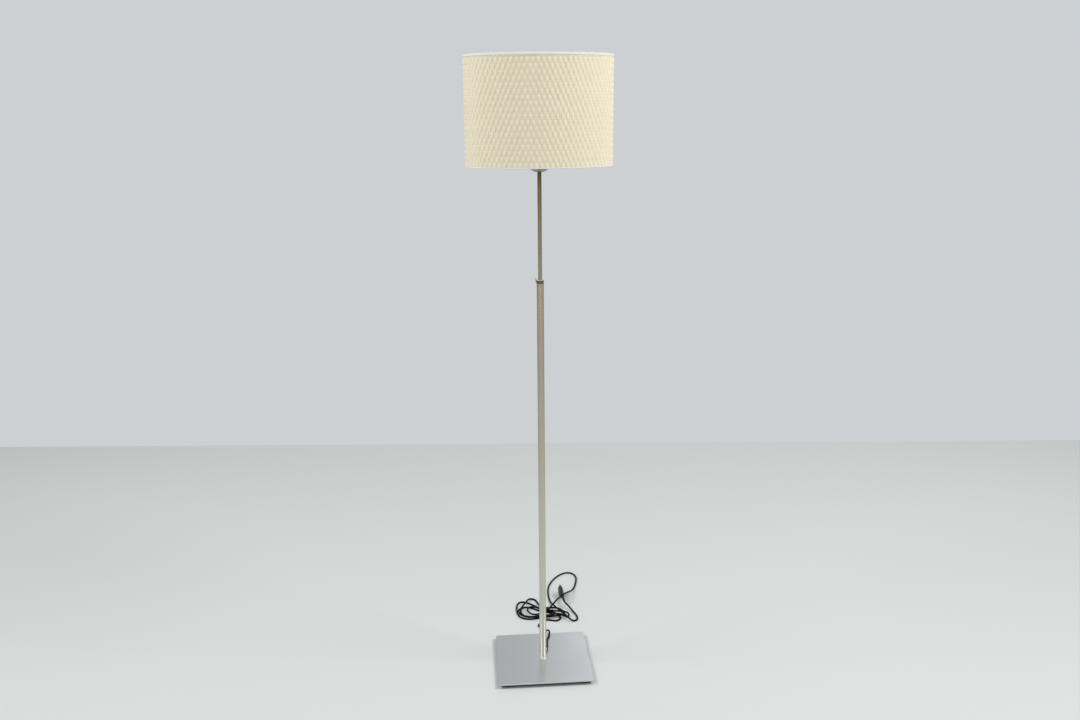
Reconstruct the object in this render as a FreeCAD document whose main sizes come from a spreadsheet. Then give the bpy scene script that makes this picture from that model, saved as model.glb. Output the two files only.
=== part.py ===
import FreeCAD, Part
import Sketcher
import math
import os
import re

Vector = FreeCAD.Vector
Rotation = FreeCAD.Rotation

# Telescopic floor lamp. Millimetres, +Z up, origin on the floor under the middle of the base.
# X and Y run along the sides of the square base, and the long way of the oval shade lies along X.

# ---- driving dimensions ------------------------------------------------------------------------

DRIVING = [
    ("base_side", 250, "side of the square base cover"),
    ("base_height", 14, "floor to the top of the cover"),
    ("cover_edge", 4, "height of the cover's turned-down edge"),
    ("cover_sheet", 1.2, "sheet thickness of the cover"),
    ("cover_corner", 3, "corner radius of the cover, seen from above"),
    ("weight_inset", 6, "weight plate inside the cover's outline"),
    ("weight_corner", 5, "corner radius of the weight plate"),
    ("weight_draft", 1, "chamfer round the weight's underside"),
    ("foot_lift", 2.5, "height of the rubber feet"),
    ("foot_diameter", 22, "rubber feet"),
    ("foot_inset", 24, "centre of a foot inside the weight's edge"),
    ("clamp_diameter", 34, "disc under the weight that clamps the pole"),
    ("clamp_sheet", 3, "thickness of the clamp disc"),
    ("clamp_recess", 4, "depth of the weight's recess for the disc"),
    ("clamp_slack", 1, "radial room of the disc in its recess"),
    ("base_screw_diameter", 8, "countersunk screw up into the pole"),
    ("base_screw_head", 13.4, "widest part of its head"),
    ("base_screw_sink", 0.2, "head's face above the disc's underside"),
    ("base_screw_socket", 5, "hexagon socket across flats"),
    ("bevel", 0.8, "small bevels on turned pieces"),
    ("slip_fit", 0.2, "radial room of the pole in the base"),
    ("foot_ring_height", 3, "ring on the pole that bears on the cover"),
    ("foot_ring_wall", 1.2, "radial thickness of that ring"),
    ("lower_tube_diameter", 18, "outside of the lower tube"),
    ("lower_tube_wall", 1, "wall of the lower tube"),
    ("lower_tube_length", 1043.5, "length of the lower tube"),
    ("foot_plug_length", 10.5, "threaded plug in the foot of the tube"),
    ("collar_height", 10, "lock collar above the end of the lower tube"),
    ("collar_stem", 15, "its stem inside the tube"),
    ("running_gap", 0.05, "radial gap where a piece slides or turns"),
    ("lock_thread", 4, "thread of the lock screw"),
    ("lock_drop", 5, "lock screw's axis below the collar's top"),
    ("lock_pad_length", 2, "nylon pad at the tip of the lock screw"),
    ("lock_pad_gap", 0.1, "between the pad and the screw's tip"),
    ("thumb_gap", 0.4, "between the collar and the screw's head"),
    ("thumb_shoulder", 7, "round shoulder of the lock screw's head"),
    ("thumb_width", 8, "width of its thumb leaf"),
    ("thumb_length", 11, "leaf's tip above the screw's axis"),
    ("thumb_sheet", 2.2, "thickness of the leaf"),
    ("thumb_lean", 12, "outward lean of the leaf, degrees"),
    ("thumb_taper", 1, "leaf narrower at its root, each side"),
    ("thumb_tip", 3, "corner radius of the leaf's tip"),
    ("upper_tube_diameter", 10, "outside of the upper tube"),
    ("upper_tube_wall", 1, "wall of the upper tube"),
    ("upper_tube_showing", 261, "upper tube in view at the stored height"),
    ("travel_up", 200, "how far the upper tube can still be drawn out"),
    ("stop_margin", 0.7, "room left at the upper stop"),
    ("glide_length", 25, "glide sleeve on the foot of the upper tube"),
    ("glide_land", 6, "each of the sleeve's two bearing lands"),
    ("glide_relief", 0.6, "depth of the groove between the lands"),
    ("clip_sheet", 1, "thickness of the clips beside the sleeve"),
    ("clip_reach", 1.4, "how far a clip stands out of the tube"),
    ("clip_play", 0.3, "end play of the sleeve between its clips"),
    ("tube_overhang", 2, "tube end below the lower clip"),
    ("thread_reach", 14, "upper tube's thread above the dish's bottom"),
    ("tube_end_gap", 0.5, "tube's end below the floor of the lampholder's cap"),
    ("dish_diameter", 44, "dish under the lampholder"),
    ("dish_depth", 8, "its height"),
    ("dish_sheet", 1.2, "its sheet thickness"),
    ("holder_neck", 15, "neck of the lampholder's cap"),
    ("holder_neck_height", 5, "height of the neck"),
    ("holder_flare", 9, "height of the cone above the neck"),
    ("holder_cap_height", 29, "whole height of the cap"),
    ("holder_diameter", 38, "outside of the cap"),
    ("holder_wall", 1.8, "wall of cap and shell"),
    ("holder_shell_height", 42, "whole height of the shell above the cap"),
    ("holder_thread", 39.5, "outside thread that carries the shade"),
    ("holder_thread_height", 20, "length of that thread above the flange"),
    ("holder_lip", 37.2, "outside of the shell above the thread"),
    ("holder_flange", 48, "flange that the shade rests on"),
    ("holder_flange_sheet", 3, "thickness of the flange"),
    ("holder_thread_start", 0.8, "bevel at the thread's upper end"),
    ("holder_flange_rise", 2.5, "flange's underside above the shell's foot"),
    ("insert_height", 13, "ceramic insert"),
    ("insert_sink", 3, "insert's underside below the shell's foot"),
    ("insert_slack", 0.3, "radial room round the insert"),
    ("lamp_bore", 26.2, "inside of the screw contact for the lamp's cap"),
    ("lamp_bore_length", 22, "length of the screw contact"),
    ("contact_rise", 2.5, "screw contact above the insert"),
    ("contact_lip", 1.5, "height of the screw contact's inward lip"),
    ("contact_room", 3, "radial room of the lip round the centre contact"),
    ("contact_head_drop", 0.5, "centre contact below the lip's top"),
    ("contact_sheet", 0.5, "sheet thickness of the contacts"),
    ("contact_diameter", 7, "head of the centre contact"),
    ("mouth_bore", 28.4, "mouth of the shell above the screw contact"),
    ("terminal_spread", 18, "between the two terminal screws"),
    ("terminal_head", 5.6, "head of a terminal screw"),
    ("switch_turn_height", 21, "switch spindle above the cap's foot"),
    ("switch_spindle", 5, "diameter of the switch spindle"),
    ("spindle_gap", 0.2, "between the switch unit and the knob's spindle"),
    ("switch_knob_diameter", 14, "turn knob of the switch"),
    ("switch_knob_tip", 12.6, "knob's diameter at its end"),
    ("switch_knob_length", 11, "length of the knob"),
    ("switch_knob_gap", 0.8, "between the cap and the knob"),
    ("switch_bearing", -45, "switch spindle, degrees from +X"),
    ("switch_box_depth", 6.5, "switch unit, along its spindle"),
    ("switch_box_width", 10, "switch unit, across"),
    ("switch_box_height", 9, "switch unit, upright"),
    ("switch_box_start", 4.5, "switch unit's near face from the lamp's axis"),
    ("shade_width", 357, "outside of the shade over its trims, long way"),
    ("shade_depth", 236, "outside of the shade over its trims, short way"),
    ("shade_end_radius", 92, "outside radius of the shade's rounded ends"),
    ("shade_height", 258, "whole height of the shade"),
    ("hub_rise", 21.5, "shade's hub above its bottom rim"),
    ("hub_diameter", 58, "flat ring in the middle of the spider"),
    ("hub_sheet", 2, "thickness of that ring"),
    ("hub_slack", 0.4, "radial room of the hub on the holder's thread"),
    ("arm_diameter", 3.4, "rods of the spider"),
    ("arm_shelf", 9, "level stretch of a rod beyond the hub"),
    ("arm_nut_gap", 0.4, "end of a rod beyond the ring nut"),
    ("rim_wire", 3.2, "rim wires of the shade"),
    ("wire_slack", 0.15, "rim wires inside the liner"),
    ("wire_setback", 0.4, "rim wires from the cloth's edges"),
    ("cloth_thickness", 1, "woven cover"),
    ("liner_thickness", 0.6, "stiff liner behind the cover"),
    ("trim_thickness", 0.6, "white edge bands"),
    ("trim_top_height", 5.5, "upper band"),
    ("trim_bottom_height", 2.8, "lower band"),
    ("ring_nut_diameter", 54, "ring nut that holds the shade"),
    ("ring_nut_height", 8, "its height"),
    ("ring_nut_grips", 16, "number of finger grooves round it"),
    ("ring_nut_groove", 3.6, "diameter of a finger groove"),
    ("groove_depth", 1.1, "depth of a finger groove"),
    ("cord_diameter", 5, "mains flex"),
    ("gland_bearing", 20, "cord outlet, degrees from +Y towards +X"),
    ("gland_rise", 8, "cord outlet above the cover"),
    ("gland_reach", 31, "tip of the outlet from the pole's axis"),
    ("gland_root", 1.2, "outlet's inner end inside the tube's wall"),
    ("gland_stand", 1.1, "outlet's flange from the tube"),
    ("gland_barrel", 6.8, "diameter of the outlet in the tube's wall"),
    ("gland_flange", 9.2, "diameter of its flange"),
    ("gland_flange_sheet", 1.2, "thickness of its flange"),
    ("gland_cone", 8, "diameter of the outlet's cone at the flange"),
    ("gland_tip", 6.4, "diameter at its tip"),
    ("gland_slack", 0.1, "radial room of the outlet in its hole"),
    ("inner_bend", 7, "bend radius of the flex inside the pole's foot"),
    ("hank_height", 18, "height of the lying hank of flex"),
    ("hank_edge", 4, "rounding of the hank's edges"),
    ("mains_plug_width", 35.3, "flat mains plug, the long way of its face"),
    ("mains_plug_thickness", 13.7, "flat mains plug, the short way"),
    ("mains_plug_length", 40, "face to the start of the strain relief"),
    ("mains_plug_shoulder", 16, "parallel stretch behind the face"),
    ("mains_plug_edge", 3, "width of the plug's narrow edges"),
    ("mains_plug_neck", 11, "thickness where the strain relief starts"),
    ("mains_plug_neck_width", 15, "width where the strain relief starts"),
    ("mains_plug_neck_side", 5.5, "height of the neck's flat sides"),
    ("mains_plug_neck_edge", 2.4, "width of the neck's narrow edges"),
    ("relief_overlap", 2, "strain relief starts inside the plug"),
    ("relief_length", 30, "strain relief of the plug"),
    ("relief_start", 8.6, "its diameter at the plug"),
    ("relief_end", 6.2, "its diameter at the cord"),
    ("pin_diameter", 4, "contact pins"),
    ("pin_length", 19, "length of the pins"),
    ("pin_spread", 18.6, "between the two pins"),
    ("pin_sleeve_wall", 0.5, "wall of that sleeve, set into the pin"),
    ("pin_sleeve_relief", 0.05, "sleeve under the pin's surface"),
    ("pin_sleeve", 9, "insulated length at the root of a pin"),
]

# Places and sizes that follow from the driving ones.
DERIVED = [
    ("cover_underside", "base_height - cover_sheet"),
    ("cover_lip", "base_height - cover_edge"),
    ("cover_inside", "base_side - 2 * cover_sheet"),
    ("weight_side", "base_side - 2 * weight_inset"),
    ("weight_thickness", "cover_underside - foot_lift"),
    ("pole_foot", "foot_lift + clamp_recess"),
    ("clamp_underside", "pole_foot - clamp_sheet"),
    ("tube_outer", "lower_tube_diameter / 2"),
    ("tube_inner", "tube_outer - lower_tube_wall"),
    ("pole_hole", "tube_outer + slip_fit"),
    ("clamp_outer", "clamp_diameter / 2"),
    ("recess_outer", "clamp_outer + clamp_slack"),
    ("screw_shank", "base_screw_diameter / 2"),
    ("screw_head", "base_screw_head / 2"),
    ("screw_head_foot", "clamp_underside + base_screw_sink"),
    ("screw_head_top", "screw_head_foot + screw_head - screw_shank"),
    ("foot_plug_top", "pole_foot + foot_plug_length"),
    ("screw_tip", "foot_plug_top - bevel"),
    ("socket_corner", "base_screw_socket / 2 / cos( 30 )"),
    ("ring_outer", "tube_outer + foot_ring_wall"),
    ("ring_shoulder", "ring_outer - bevel"),
    ("ring_top", "base_height + foot_ring_height"),
    ("ring_bevel", "ring_top - bevel"),
    ("lower_tube_top", "pole_foot + lower_tube_length"),
    ("collar_foot", "lower_tube_top - collar_stem"),
    ("collar_top", "lower_tube_top + collar_height"),
    ("collar_bevel", "collar_top - bevel"),
    ("collar_shoulder", "tube_outer - bevel"),
    ("rod_outer", "upper_tube_diameter / 2"),
    ("rod_inner", "rod_outer - upper_tube_wall"),
    ("collar_bore", "rod_outer + running_gap"),
    ("lock_height", "collar_top - lock_drop"),
    ("lock_hole", "lock_thread / 2"),
    ("lock_shank", "lock_hole - running_gap"),
    ("pad_outer_end", "collar_bore + lock_pad_length"),
    ("lock_tip", "pad_outer_end + lock_pad_gap"),
    ("thumb_start", "tube_outer + thumb_gap"),
    ("thumb_neck", "thumb_shoulder / 2"),
    ("thumb_end", "thumb_start + thumb_sheet"),
    ("clip_top", "collar_foot - travel_up - stop_margin"),
    ("glide_top", "clip_top - clip_sheet - clip_play"),
    ("glide_foot", "glide_top - glide_length"),
    ("glide_outer", "tube_inner - running_gap"),
    ("glide_waist", "glide_outer - glide_relief"),
    ("glide_land_foot", "glide_foot + glide_land"),
    ("glide_land_top", "glide_top - glide_land"),
    ("upper_tube_foot", "glide_foot - clip_play - clip_sheet - tube_overhang"),
    ("dish_foot", "collar_top + upper_tube_showing"),
    ("upper_tube_top", "dish_foot + thread_reach"),
    ("dish_ball", "(dish_diameter ^ 2 / 4 + dish_depth ^ 2) / (2 * dish_depth)"),
    ("neck_outer", "holder_neck / 2"),
    ("dish_hollow", "dish_ball - dish_sheet"),
    ("cap_foot", "dish_foot + dish_ball - sqrt(dish_hollow ^ 2 - neck_outer ^ 2)"),
    ("neck_top", "cap_foot + holder_neck_height"),
    ("flare_top", "neck_top + holder_flare"),
    ("cap_top", "cap_foot + holder_cap_height"),
    ("cap_outer", "holder_diameter / 2"),
    ("cap_inner", "cap_outer - holder_wall"),
    ("cap_floor", "upper_tube_top + tube_end_gap"),
    ("shell_top", "cap_top + holder_shell_height"),
    ("shell_thread", "holder_thread / 2"),
    ("shell_lip", "holder_lip / 2"),
    ("flange_outer", "holder_flange / 2"),
    ("flange_foot", "cap_top + holder_flange_rise"),
    ("flange_top", "flange_foot + holder_flange_sheet"),
    ("thread_top", "flange_top + holder_thread_height"),
    ("insert_foot", "cap_top - insert_sink"),
    ("insert_top", "insert_foot + insert_height"),
    ("insert_outer", "cap_inner - insert_slack"),
    ("lamp_wall", "lamp_bore / 2"),
    ("contact_outer", "lamp_wall + contact_sheet"),
    ("contact_foot", "insert_top + contact_rise"),
    ("contact_floor", "contact_foot + contact_lip"),
    ("contact_top", "contact_floor + lamp_bore_length"),
    ("contact_hole", "contact_diameter / 2 + contact_room"),
    ("mouth_wall", "mouth_bore / 2"),
    ("tab_outer", "contact_diameter / 2"),
    ("tab_top", "contact_floor - contact_head_drop"),
    ("switch_height", "cap_foot + switch_turn_height"),
    ("spindle_outer", "switch_spindle / 2"),
    ("spindle_hole", "spindle_outer + running_gap"),
    ("spindle_start", "switch_box_start + switch_box_depth + spindle_gap"),
    ("knob_start", "cap_outer + switch_knob_gap"),
    ("knob_outer", "switch_knob_diameter / 2"),
    ("knob_end", "knob_start + switch_knob_length"),
    ("knob_tip", "switch_knob_tip / 2"),
    ("hub_foot", "flange_top"),
    ("hub_top", "hub_foot + hub_sheet"),
    ("hub_middle", "(hub_foot + hub_top) / 2"),
    ("hub_hole", "shell_thread + hub_slack"),
    ("hub_outer", "hub_diameter / 2"),
    ("nut_outer", "ring_nut_diameter / 2"),
    ("nut_top", "hub_top + ring_nut_height"),
    ("shade_bottom", "hub_foot - hub_rise"),
    ("shade_top", "shade_bottom + shade_height"),
    ("band_long", "shade_width / 2"),
    ("band_short", "shade_depth / 2"),
    ("side_radius", "(band_long ^ 2 + band_short ^ 2 - 2 * band_long * shade_end_radius)"
     " / (2 * (band_short - shade_end_radius))"),
    ("end_centre", "band_long - shade_end_radius"),
    ("side_centre", "side_radius - band_short"),
    ("end_turn", "atan( side_centre / end_centre )"),
    ("cloth_depth", "trim_thickness"),
    ("liner_depth", "cloth_depth + cloth_thickness"),
    ("inside_depth", "liner_depth + liner_thickness"),
    ("cloth_foot", "shade_bottom + trim_thickness"),
    ("cloth_height", "shade_height - 2 * trim_thickness"),
    ("wire_radius", "rim_wire / 2"),
    ("wire_depth", "inside_depth + wire_slack + wire_radius"),
    ("wire_long", "band_long - wire_depth"),
    ("wire_short", "band_short - wire_depth"),
    ("bottom_wire_height", "cloth_foot + wire_radius + wire_setback"),
    ("top_wire_height", "cloth_foot + cloth_height - wire_radius - wire_setback"),
    ("arm_start", "nut_outer + arm_nut_gap"),
    ("arm_bend", "hub_outer + arm_shelf"),
    ("flex", "cord_diameter / 2"),
    ("gland_height", "base_height + gland_rise"),
    ("gland_start", "tube_inner - gland_root"),
    ("gland_seat", "tube_outer + gland_stand"),
    ("gland_seat_end", "gland_seat + gland_flange_sheet"),
    ("gland_barrel_outer", "gland_barrel / 2"),
    ("gland_flange_outer", "gland_flange / 2"),
    ("gland_tip_outer", "gland_tip / 2"),
    ("gland_root_outer", "gland_cone / 2"),
    ("gland_bore", "flex + running_gap"),
    ("gland_hole", "gland_barrel_outer + gland_slack"),
    ("pin_outer", "pin_diameter / 2"),
    ("pin_core", "pin_outer - pin_sleeve_wall"),
]

doc = FreeCAD.newDocument("telescopic_floor_lamp")
dims = doc.addObject("Spreadsheet::Sheet", "dims")
PARTS = []


def fill_sheet():
    row = 1
    for alias, size, meaning in DRIVING:
        dims.set("A%d" % row, alias)
        dims.set("B%d" % row, str(size))
        dims.set("C%d" % row, meaning)
        dims.setAlias("B%d" % row, alias)
        row += 1
    for alias, formula in DERIVED:
        dims.set("A%d" % row, alias)
        dims.set("B%d" % row, "=" + formula)
        dims.setAlias("B%d" % row, alias)
        row += 1
    doc.recompute()


def size_of(alias):
    """The present value of one named cell, as a number."""
    return float(getattr(dims, alias))


# ---- small helpers -----------------------------------------------------------------------------

def bind(thing, **sizes):
    """Ties properties to cells or formulas: Length="base_side / 2" reads the sheet."""
    for prop, formula in sizes.items():
        thing.setExpression(prop.replace("__", "."), with_sheet(formula))
    return thing


def with_sheet(formula):
    """Puts the sheet's name before every alias in a formula."""
    def named(match):
        word = match.group(0)
        return "dims." + word if word in ALIASES else word
    return re.sub(r"[a-z][a-z_]*", named, formula)


ALIASES = [row[0] for row in DRIVING] + [row[0] for row in DERIVED]


def keep(thing, name):
    """Marks an object as one node of the lamp."""
    thing.Label = name
    PARTS.append(thing)
    return thing


def origin_plane(body, role):
    for feature in body.Origin.OriginFeatures:
        if feature.Role == role:
            return feature
    raise ValueError(role)


def new_body(name):
    return doc.addObject("PartDesign::Body", name)


def new_sketch(body, name, role, height=None):
    sketch = body.newObject("Sketcher::SketchObject", name)
    sketch.AttachmentSupport = (origin_plane(body, role), [""])
    sketch.MapMode = "FlatFace"
    if height:
        bind(sketch, AttachmentOffset__Base__z=height)
    return sketch


def outline(sketch, points):
    """A closed outline of straight edges through points given as pairs of aliases or formulas."""
    places = [(number(x), number(y)) for x, y in points]
    count = len(points)
    for i in range(count):
        start = Vector(places[i][0], places[i][1], 0)
        end = Vector(places[(i + 1) % count][0], places[(i + 1) % count][1], 0)
        sketch.addGeometry(Part.LineSegment(start, end), False)
    for i in range(count):
        sketch.addConstraint(Sketcher.Constraint("Coincident", i, 2, (i + 1) % count, 1))
    for i in range(count):
        for kind, k in (("DistanceX", 0), ("DistanceY", 1)):
            at = sketch.addConstraint(Sketcher.Constraint(kind, -1, 1, i, 1, places[i][k]))
            sketch.setExpression("Constraints[%d]" % at, with_sheet(points[i][k]))
    return sketch


def number(formula):
    """The present value of a formula of aliases, read through a scratch cell of the sheet."""
    dims.set("E1", "=" + formula)
    dims.recompute()
    value = float(dims.get("E1"))
    return value


def ring_sketch(sketch, radius, x=None, y=None):
    """One circle, round the origin or at a place given by formulas."""
    at_x = number(x) if x else 0.0
    at_y = number(y) if y else 0.0
    size = number(radius)
    edge = sketch.addGeometry(Part.Circle(Vector(at_x, at_y, 0), Vector(0, 0, 1), size), False)
    at = sketch.addConstraint(Sketcher.Constraint("Radius", edge, size))
    sketch.setExpression("Constraints[%d]" % at, with_sheet(radius))
    if not x and not y:
        sketch.addConstraint(Sketcher.Constraint("Coincident", edge, 3, -1, 1))
        return sketch
    for kind, formula, place in (("DistanceX", x, at_x), ("DistanceY", y, at_y)):
        at = sketch.addConstraint(Sketcher.Constraint(kind, -1, 1, edge, 3, place))
        sketch.setExpression("Constraints[%d]" % at, with_sheet(formula or "0"))
    return sketch


def pad(body, sketch, length, reversed_way=False):
    feature = body.newObject("PartDesign::Pad", sketch.Name + "_pad")
    feature.Profile = sketch
    feature.Reversed = reversed_way
    bind(feature, Length=length)
    sketch.Visibility = False
    return feature


def pocket(body, sketch, length, reversed_way=False):
    feature = body.newObject("PartDesign::Pocket", sketch.Name + "_pocket")
    feature.Profile = sketch
    feature.Reversed = reversed_way
    bind(feature, Length=length)
    return feature


def turned(name, points, role="XZ_Plane", axis="V_Axis"):
    """A turned piece: an outline of (radius, height) pairs swept round the lamp's axis.

    On XZ_Plane with H_Axis the pairs are (place along X, radius) instead."""
    body = new_body(name)
    sketch = outline(new_sketch(body, name + "_section", role), points)
    feature = body.newObject("PartDesign::Revolution", name + "_turn")
    feature.Profile = sketch
    feature.ReferenceAxis = (sketch, [axis])
    feature.Angle = 360
    return body


def round_edges(body, name, edges, radius, kind="Fillet"):
    """Fillets or chamfers the named edges of the body's tip."""
    base = body.Tip
    feature = body.newObject("PartDesign::" + kind, name)
    feature.Base = (base, edges)
    prop = "Radius" if kind == "Fillet" else "Size"
    bind(feature, **{prop: radius})
    return feature


def edges_where(shape, test):
    return ["Edge%d" % (i + 1) for i, edge in enumerate(shape.Edges) if test(edge)]


def upright(edge):
    start, end = edge.Vertexes[0].Point, edge.Vertexes[-1].Point
    return abs(start.x - end.x) < 1e-6 and abs(start.y - end.y) < 1e-6 and abs(start.z - end.z) > 1e-6


def level_at(height):
    """A test for edges that lie wholly at one height."""
    def test(edge):
        box = edge.BoundBox
        return abs(box.ZMin - height) < 1e-5 and abs(box.ZMax - height) < 1e-5
    return test


def rod(name, radius, length, foot):
    """A plain upright cylinder primitive on the lamp's axis."""
    return bind(doc.addObject("Part::Cylinder", name), Radius=radius, Height=length,
                Placement__Base__z=foot)


def cut(name, base, tool):
    feature = doc.addObject("Part::Cut", name)
    feature.Base = base
    feature.Tool = tool
    return feature


def fuse(name, pieces):
    feature = doc.addObject("Part::MultiFuse", name)
    feature.Shapes = pieces
    return feature


def group(name, pieces):
    """Separate equal solids that share one node."""
    feature = doc.addObject("Part::Compound", name)
    feature.Links = pieces
    return feature


def tube(name, outer, inner, length, foot):
    return cut(name, rod(name + "_outside", outer, length, foot),
               rod(name + "_inside", inner, length, foot))


def turn_about_z(thing, degrees):
    """Turns a finished piece about the lamp's axis by a formula in degrees."""
    thing.setExpression("Placement", "placement(vector(0; 0; 0); vector(0; 0; 1); %s)"
                        % with_sheet(degrees))
    return thing


# ---- base --------------------------------------------------------------------------------------

def square(sketch, side):
    half = "( %s ) / 2" % side
    minus = "0 - ( %s ) / 2" % side
    return outline(sketch, [(minus, minus), (half, minus), (half, half), (minus, half)])


def make_base_cover():
    """Pressed steel tray, upside down over the weight."""
    body = new_body("base_cover")
    pad(body, square(new_sketch(body, "cover_plan", "XY_Plane", "cover_lip"), "base_side"), "cover_edge")
    doc.recompute()
    round_edges(body, "cover_corners", edges_where(body.Shape, upright), "cover_corner")
    doc.recompute()
    top = edges_where(body.Shape, level_at(size_of("base_height")))
    round_edges(body, "cover_top_edge", top, "cover_sheet")
    hollow = square(new_sketch(body, "cover_hollow", "XY_Plane", "cover_lip"), "cover_inside")
    pocket(body, hollow, "cover_edge - cover_sheet", True)
    hole = ring_sketch(new_sketch(body, "cover_pole_hole", "XY_Plane", "cover_lip"), "pole_hole")
    pocket(body, hole, "cover_edge + 1", True)
    keep(body, "base_cover")


def make_base_weight():
    """Cast iron plate with a recess below for the clamp disc."""
    body = new_body("base_weight")
    plan = square(new_sketch(body, "weight_plan", "XY_Plane", "foot_lift"), "weight_side")
    pad(body, plan, "weight_thickness")
    doc.recompute()
    round_edges(body, "weight_corners", edges_where(body.Shape, upright), "weight_corner")
    doc.recompute()
    rims = edges_where(body.Shape, level_at(size_of("foot_lift")))
    round_edges(body, "weight_draft", rims, "weight_draft", "Chamfer")
    recess = ring_sketch(new_sketch(body, "weight_recess", "XY_Plane", "foot_lift"), "recess_outer")
    pocket(body, recess, "clamp_recess", True)
    hole = ring_sketch(new_sketch(body, "weight_pole_hole", "XY_Plane", "foot_lift"), "pole_hole")
    pocket(body, hole, "weight_thickness + 1", True)
    keep(body, "base_weight")


def make_base_feet():
    feet = []
    reach = "( weight_side / 2 - foot_inset )"
    for i, (way_x, way_y) in enumerate([("", ""), ("0 - ", ""), ("0 - ", "0 - "), ("", "0 - ")]):
        foot = rod("foot_%d" % (i + 1), "foot_diameter / 2", "foot_lift", "0")
        feet.append(bind(foot, Placement__Base__x=way_x + reach, Placement__Base__y=way_y + reach))
    keep(group("base_feet", feet), "base_feet")


def make_pole_fixing():
    disc = turned("base_clamp_disc", [
        ("screw_head", "clamp_underside"), ("clamp_outer", "clamp_underside"),
        ("clamp_outer", "pole_foot"), ("screw_shank", "pole_foot"),
        ("screw_shank", "screw_head_top"), ("screw_head", "screw_head_foot")])
    keep(disc, "base_clamp_disc")
    screw = turned("base_screw", [
        ("0", "screw_head_foot"), ("screw_head", "screw_head_foot"),
        ("screw_shank", "screw_head_top"), ("screw_shank", "screw_tip - bevel"),
        ("screw_shank - bevel", "screw_tip"), ("0", "screw_tip")])
    socket = new_sketch(screw, "base_screw_socket", "XY_Plane", "screw_head_foot")
    outline(socket, [("socket_corner * cos( %d )" % turn, "socket_corner * sin( %d )" % turn)
                     for turn in range(0, 360, 60)])
    pocket(screw, socket, "screw_head_top - screw_head_foot", True)
    keep(screw, "base_screw")
    keep(turned("foot_plug", [
        ("screw_shank", "pole_foot"), ("tube_inner", "pole_foot"),
        ("tube_inner", "foot_plug_top"), ("screw_shank", "foot_plug_top")]), "foot_plug")
    keep(turned("foot_ring", [
        ("tube_outer", "base_height"), ("ring_outer", "base_height"), ("ring_outer", "ring_bevel"),
        ("ring_shoulder", "ring_top"), ("tube_outer", "ring_top")]), "foot_ring")


# ---- pole --------------------------------------------------------------------------------------

def make_lower_tube():
    barrel = tube("lower_tube_blank", "tube_outer", "tube_inner", "lower_tube_length", "pole_foot")
    drill = rod("gland_drill", "gland_hole", "gland_reach", "gland_height")
    drill.setExpression("Placement", with_sheet(
        "placement(vector( 0 ; 0 ; gland_height ); rotation( 90 - gland_bearing ; 90 ; 0 ))"))
    keep(cut("lower_tube", barrel, drill), "lower_tube")


def make_cord_gland():
    """Tapered outlet, turned about X and then swung to its bearing."""
    gland = turned("cord_gland", [
        ("gland_start", "gland_bore"), ("gland_reach", "gland_bore"), ("gland_reach", "gland_tip_outer"),
        ("gland_seat_end", "gland_root_outer"), ("gland_seat_end", "gland_flange_outer"),
        ("gland_seat", "gland_flange_outer"), ("gland_seat", "gland_barrel_outer"),
        ("gland_start", "gland_barrel_outer")], axis="H_Axis")
    gland.setExpression("Placement", with_sheet(
        "placement(vector( 0 ; 0 ; gland_height ); vector( 0 ; 0 ; 1 ); 90 - gland_bearing )"))
    keep(gland, "cord_gland")


def make_lock():
    collar = turned("lock_collar", [
        ("collar_bore", "collar_foot"), ("tube_inner", "collar_foot"), ("tube_inner", "lower_tube_top"),
        ("tube_outer", "lower_tube_top"), ("tube_outer", "collar_bevel"),
        ("collar_shoulder", "collar_top"), ("collar_bore", "collar_top")])
    hole = ring_sketch(new_sketch(collar, "lock_hole_mark", "YZ_Plane"), "lock_hole", None, "lock_height")
    pocket(collar, hole, "tube_outer + 1")
    keep(collar, "lock_collar")

    pad_body = turned("lock_pad", [
        ("0 - pad_outer_end", "0"), ("0 - collar_bore", "0"), ("0 - collar_bore", "lock_shank"),
        ("0 - pad_outer_end", "lock_shank")], axis="H_Axis")
    keep(bind(pad_body, Placement__Base__z="lock_height"), "lock_pad")

    screw = turned("lock_screw_stem", [
        ("0 - lock_tip", "0"), ("0 - lock_tip", "lock_shank"), ("0 - thumb_start", "lock_shank"),
        ("0 - thumb_start", "thumb_neck"), ("0 - thumb_end", "thumb_neck"), ("0 - thumb_end", "0")],
        axis="H_Axis")
    leaf = new_body("lock_screw_leaf")
    shape = new_sketch(leaf, "leaf_outline", "YZ_Plane")
    half = "thumb_width / 2"
    minus = "0 - thumb_width / 2"
    outline(shape, [(minus + " + thumb_taper", "0"), (half + " - thumb_taper", "0"),
                    (half, "thumb_length"), (minus, "thumb_length")])
    pad(leaf, shape, "thumb_sheet", True)
    doc.recompute()
    top = size_of("thumb_length")
    tips = [name for name in edges_where(leaf.Shape, lambda e: abs(e.BoundBox.ZMin - top) < 1e-6
                                         and e.BoundBox.YLength < 1e-6)]
    round_edges(leaf, "leaf_tips", tips, "thumb_tip")
    leaf.setExpression("Placement", with_sheet(
        "placement(vector( 0 - thumb_start ; 0 ; 0 ); vector( 0 ; 1 ; 0 ); 0 - thumb_lean )"))
    whole = fuse("lock_screw", [screw, leaf])
    keep(bind(whole, Placement__Base__z="lock_height"), "lock_screw")


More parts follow.
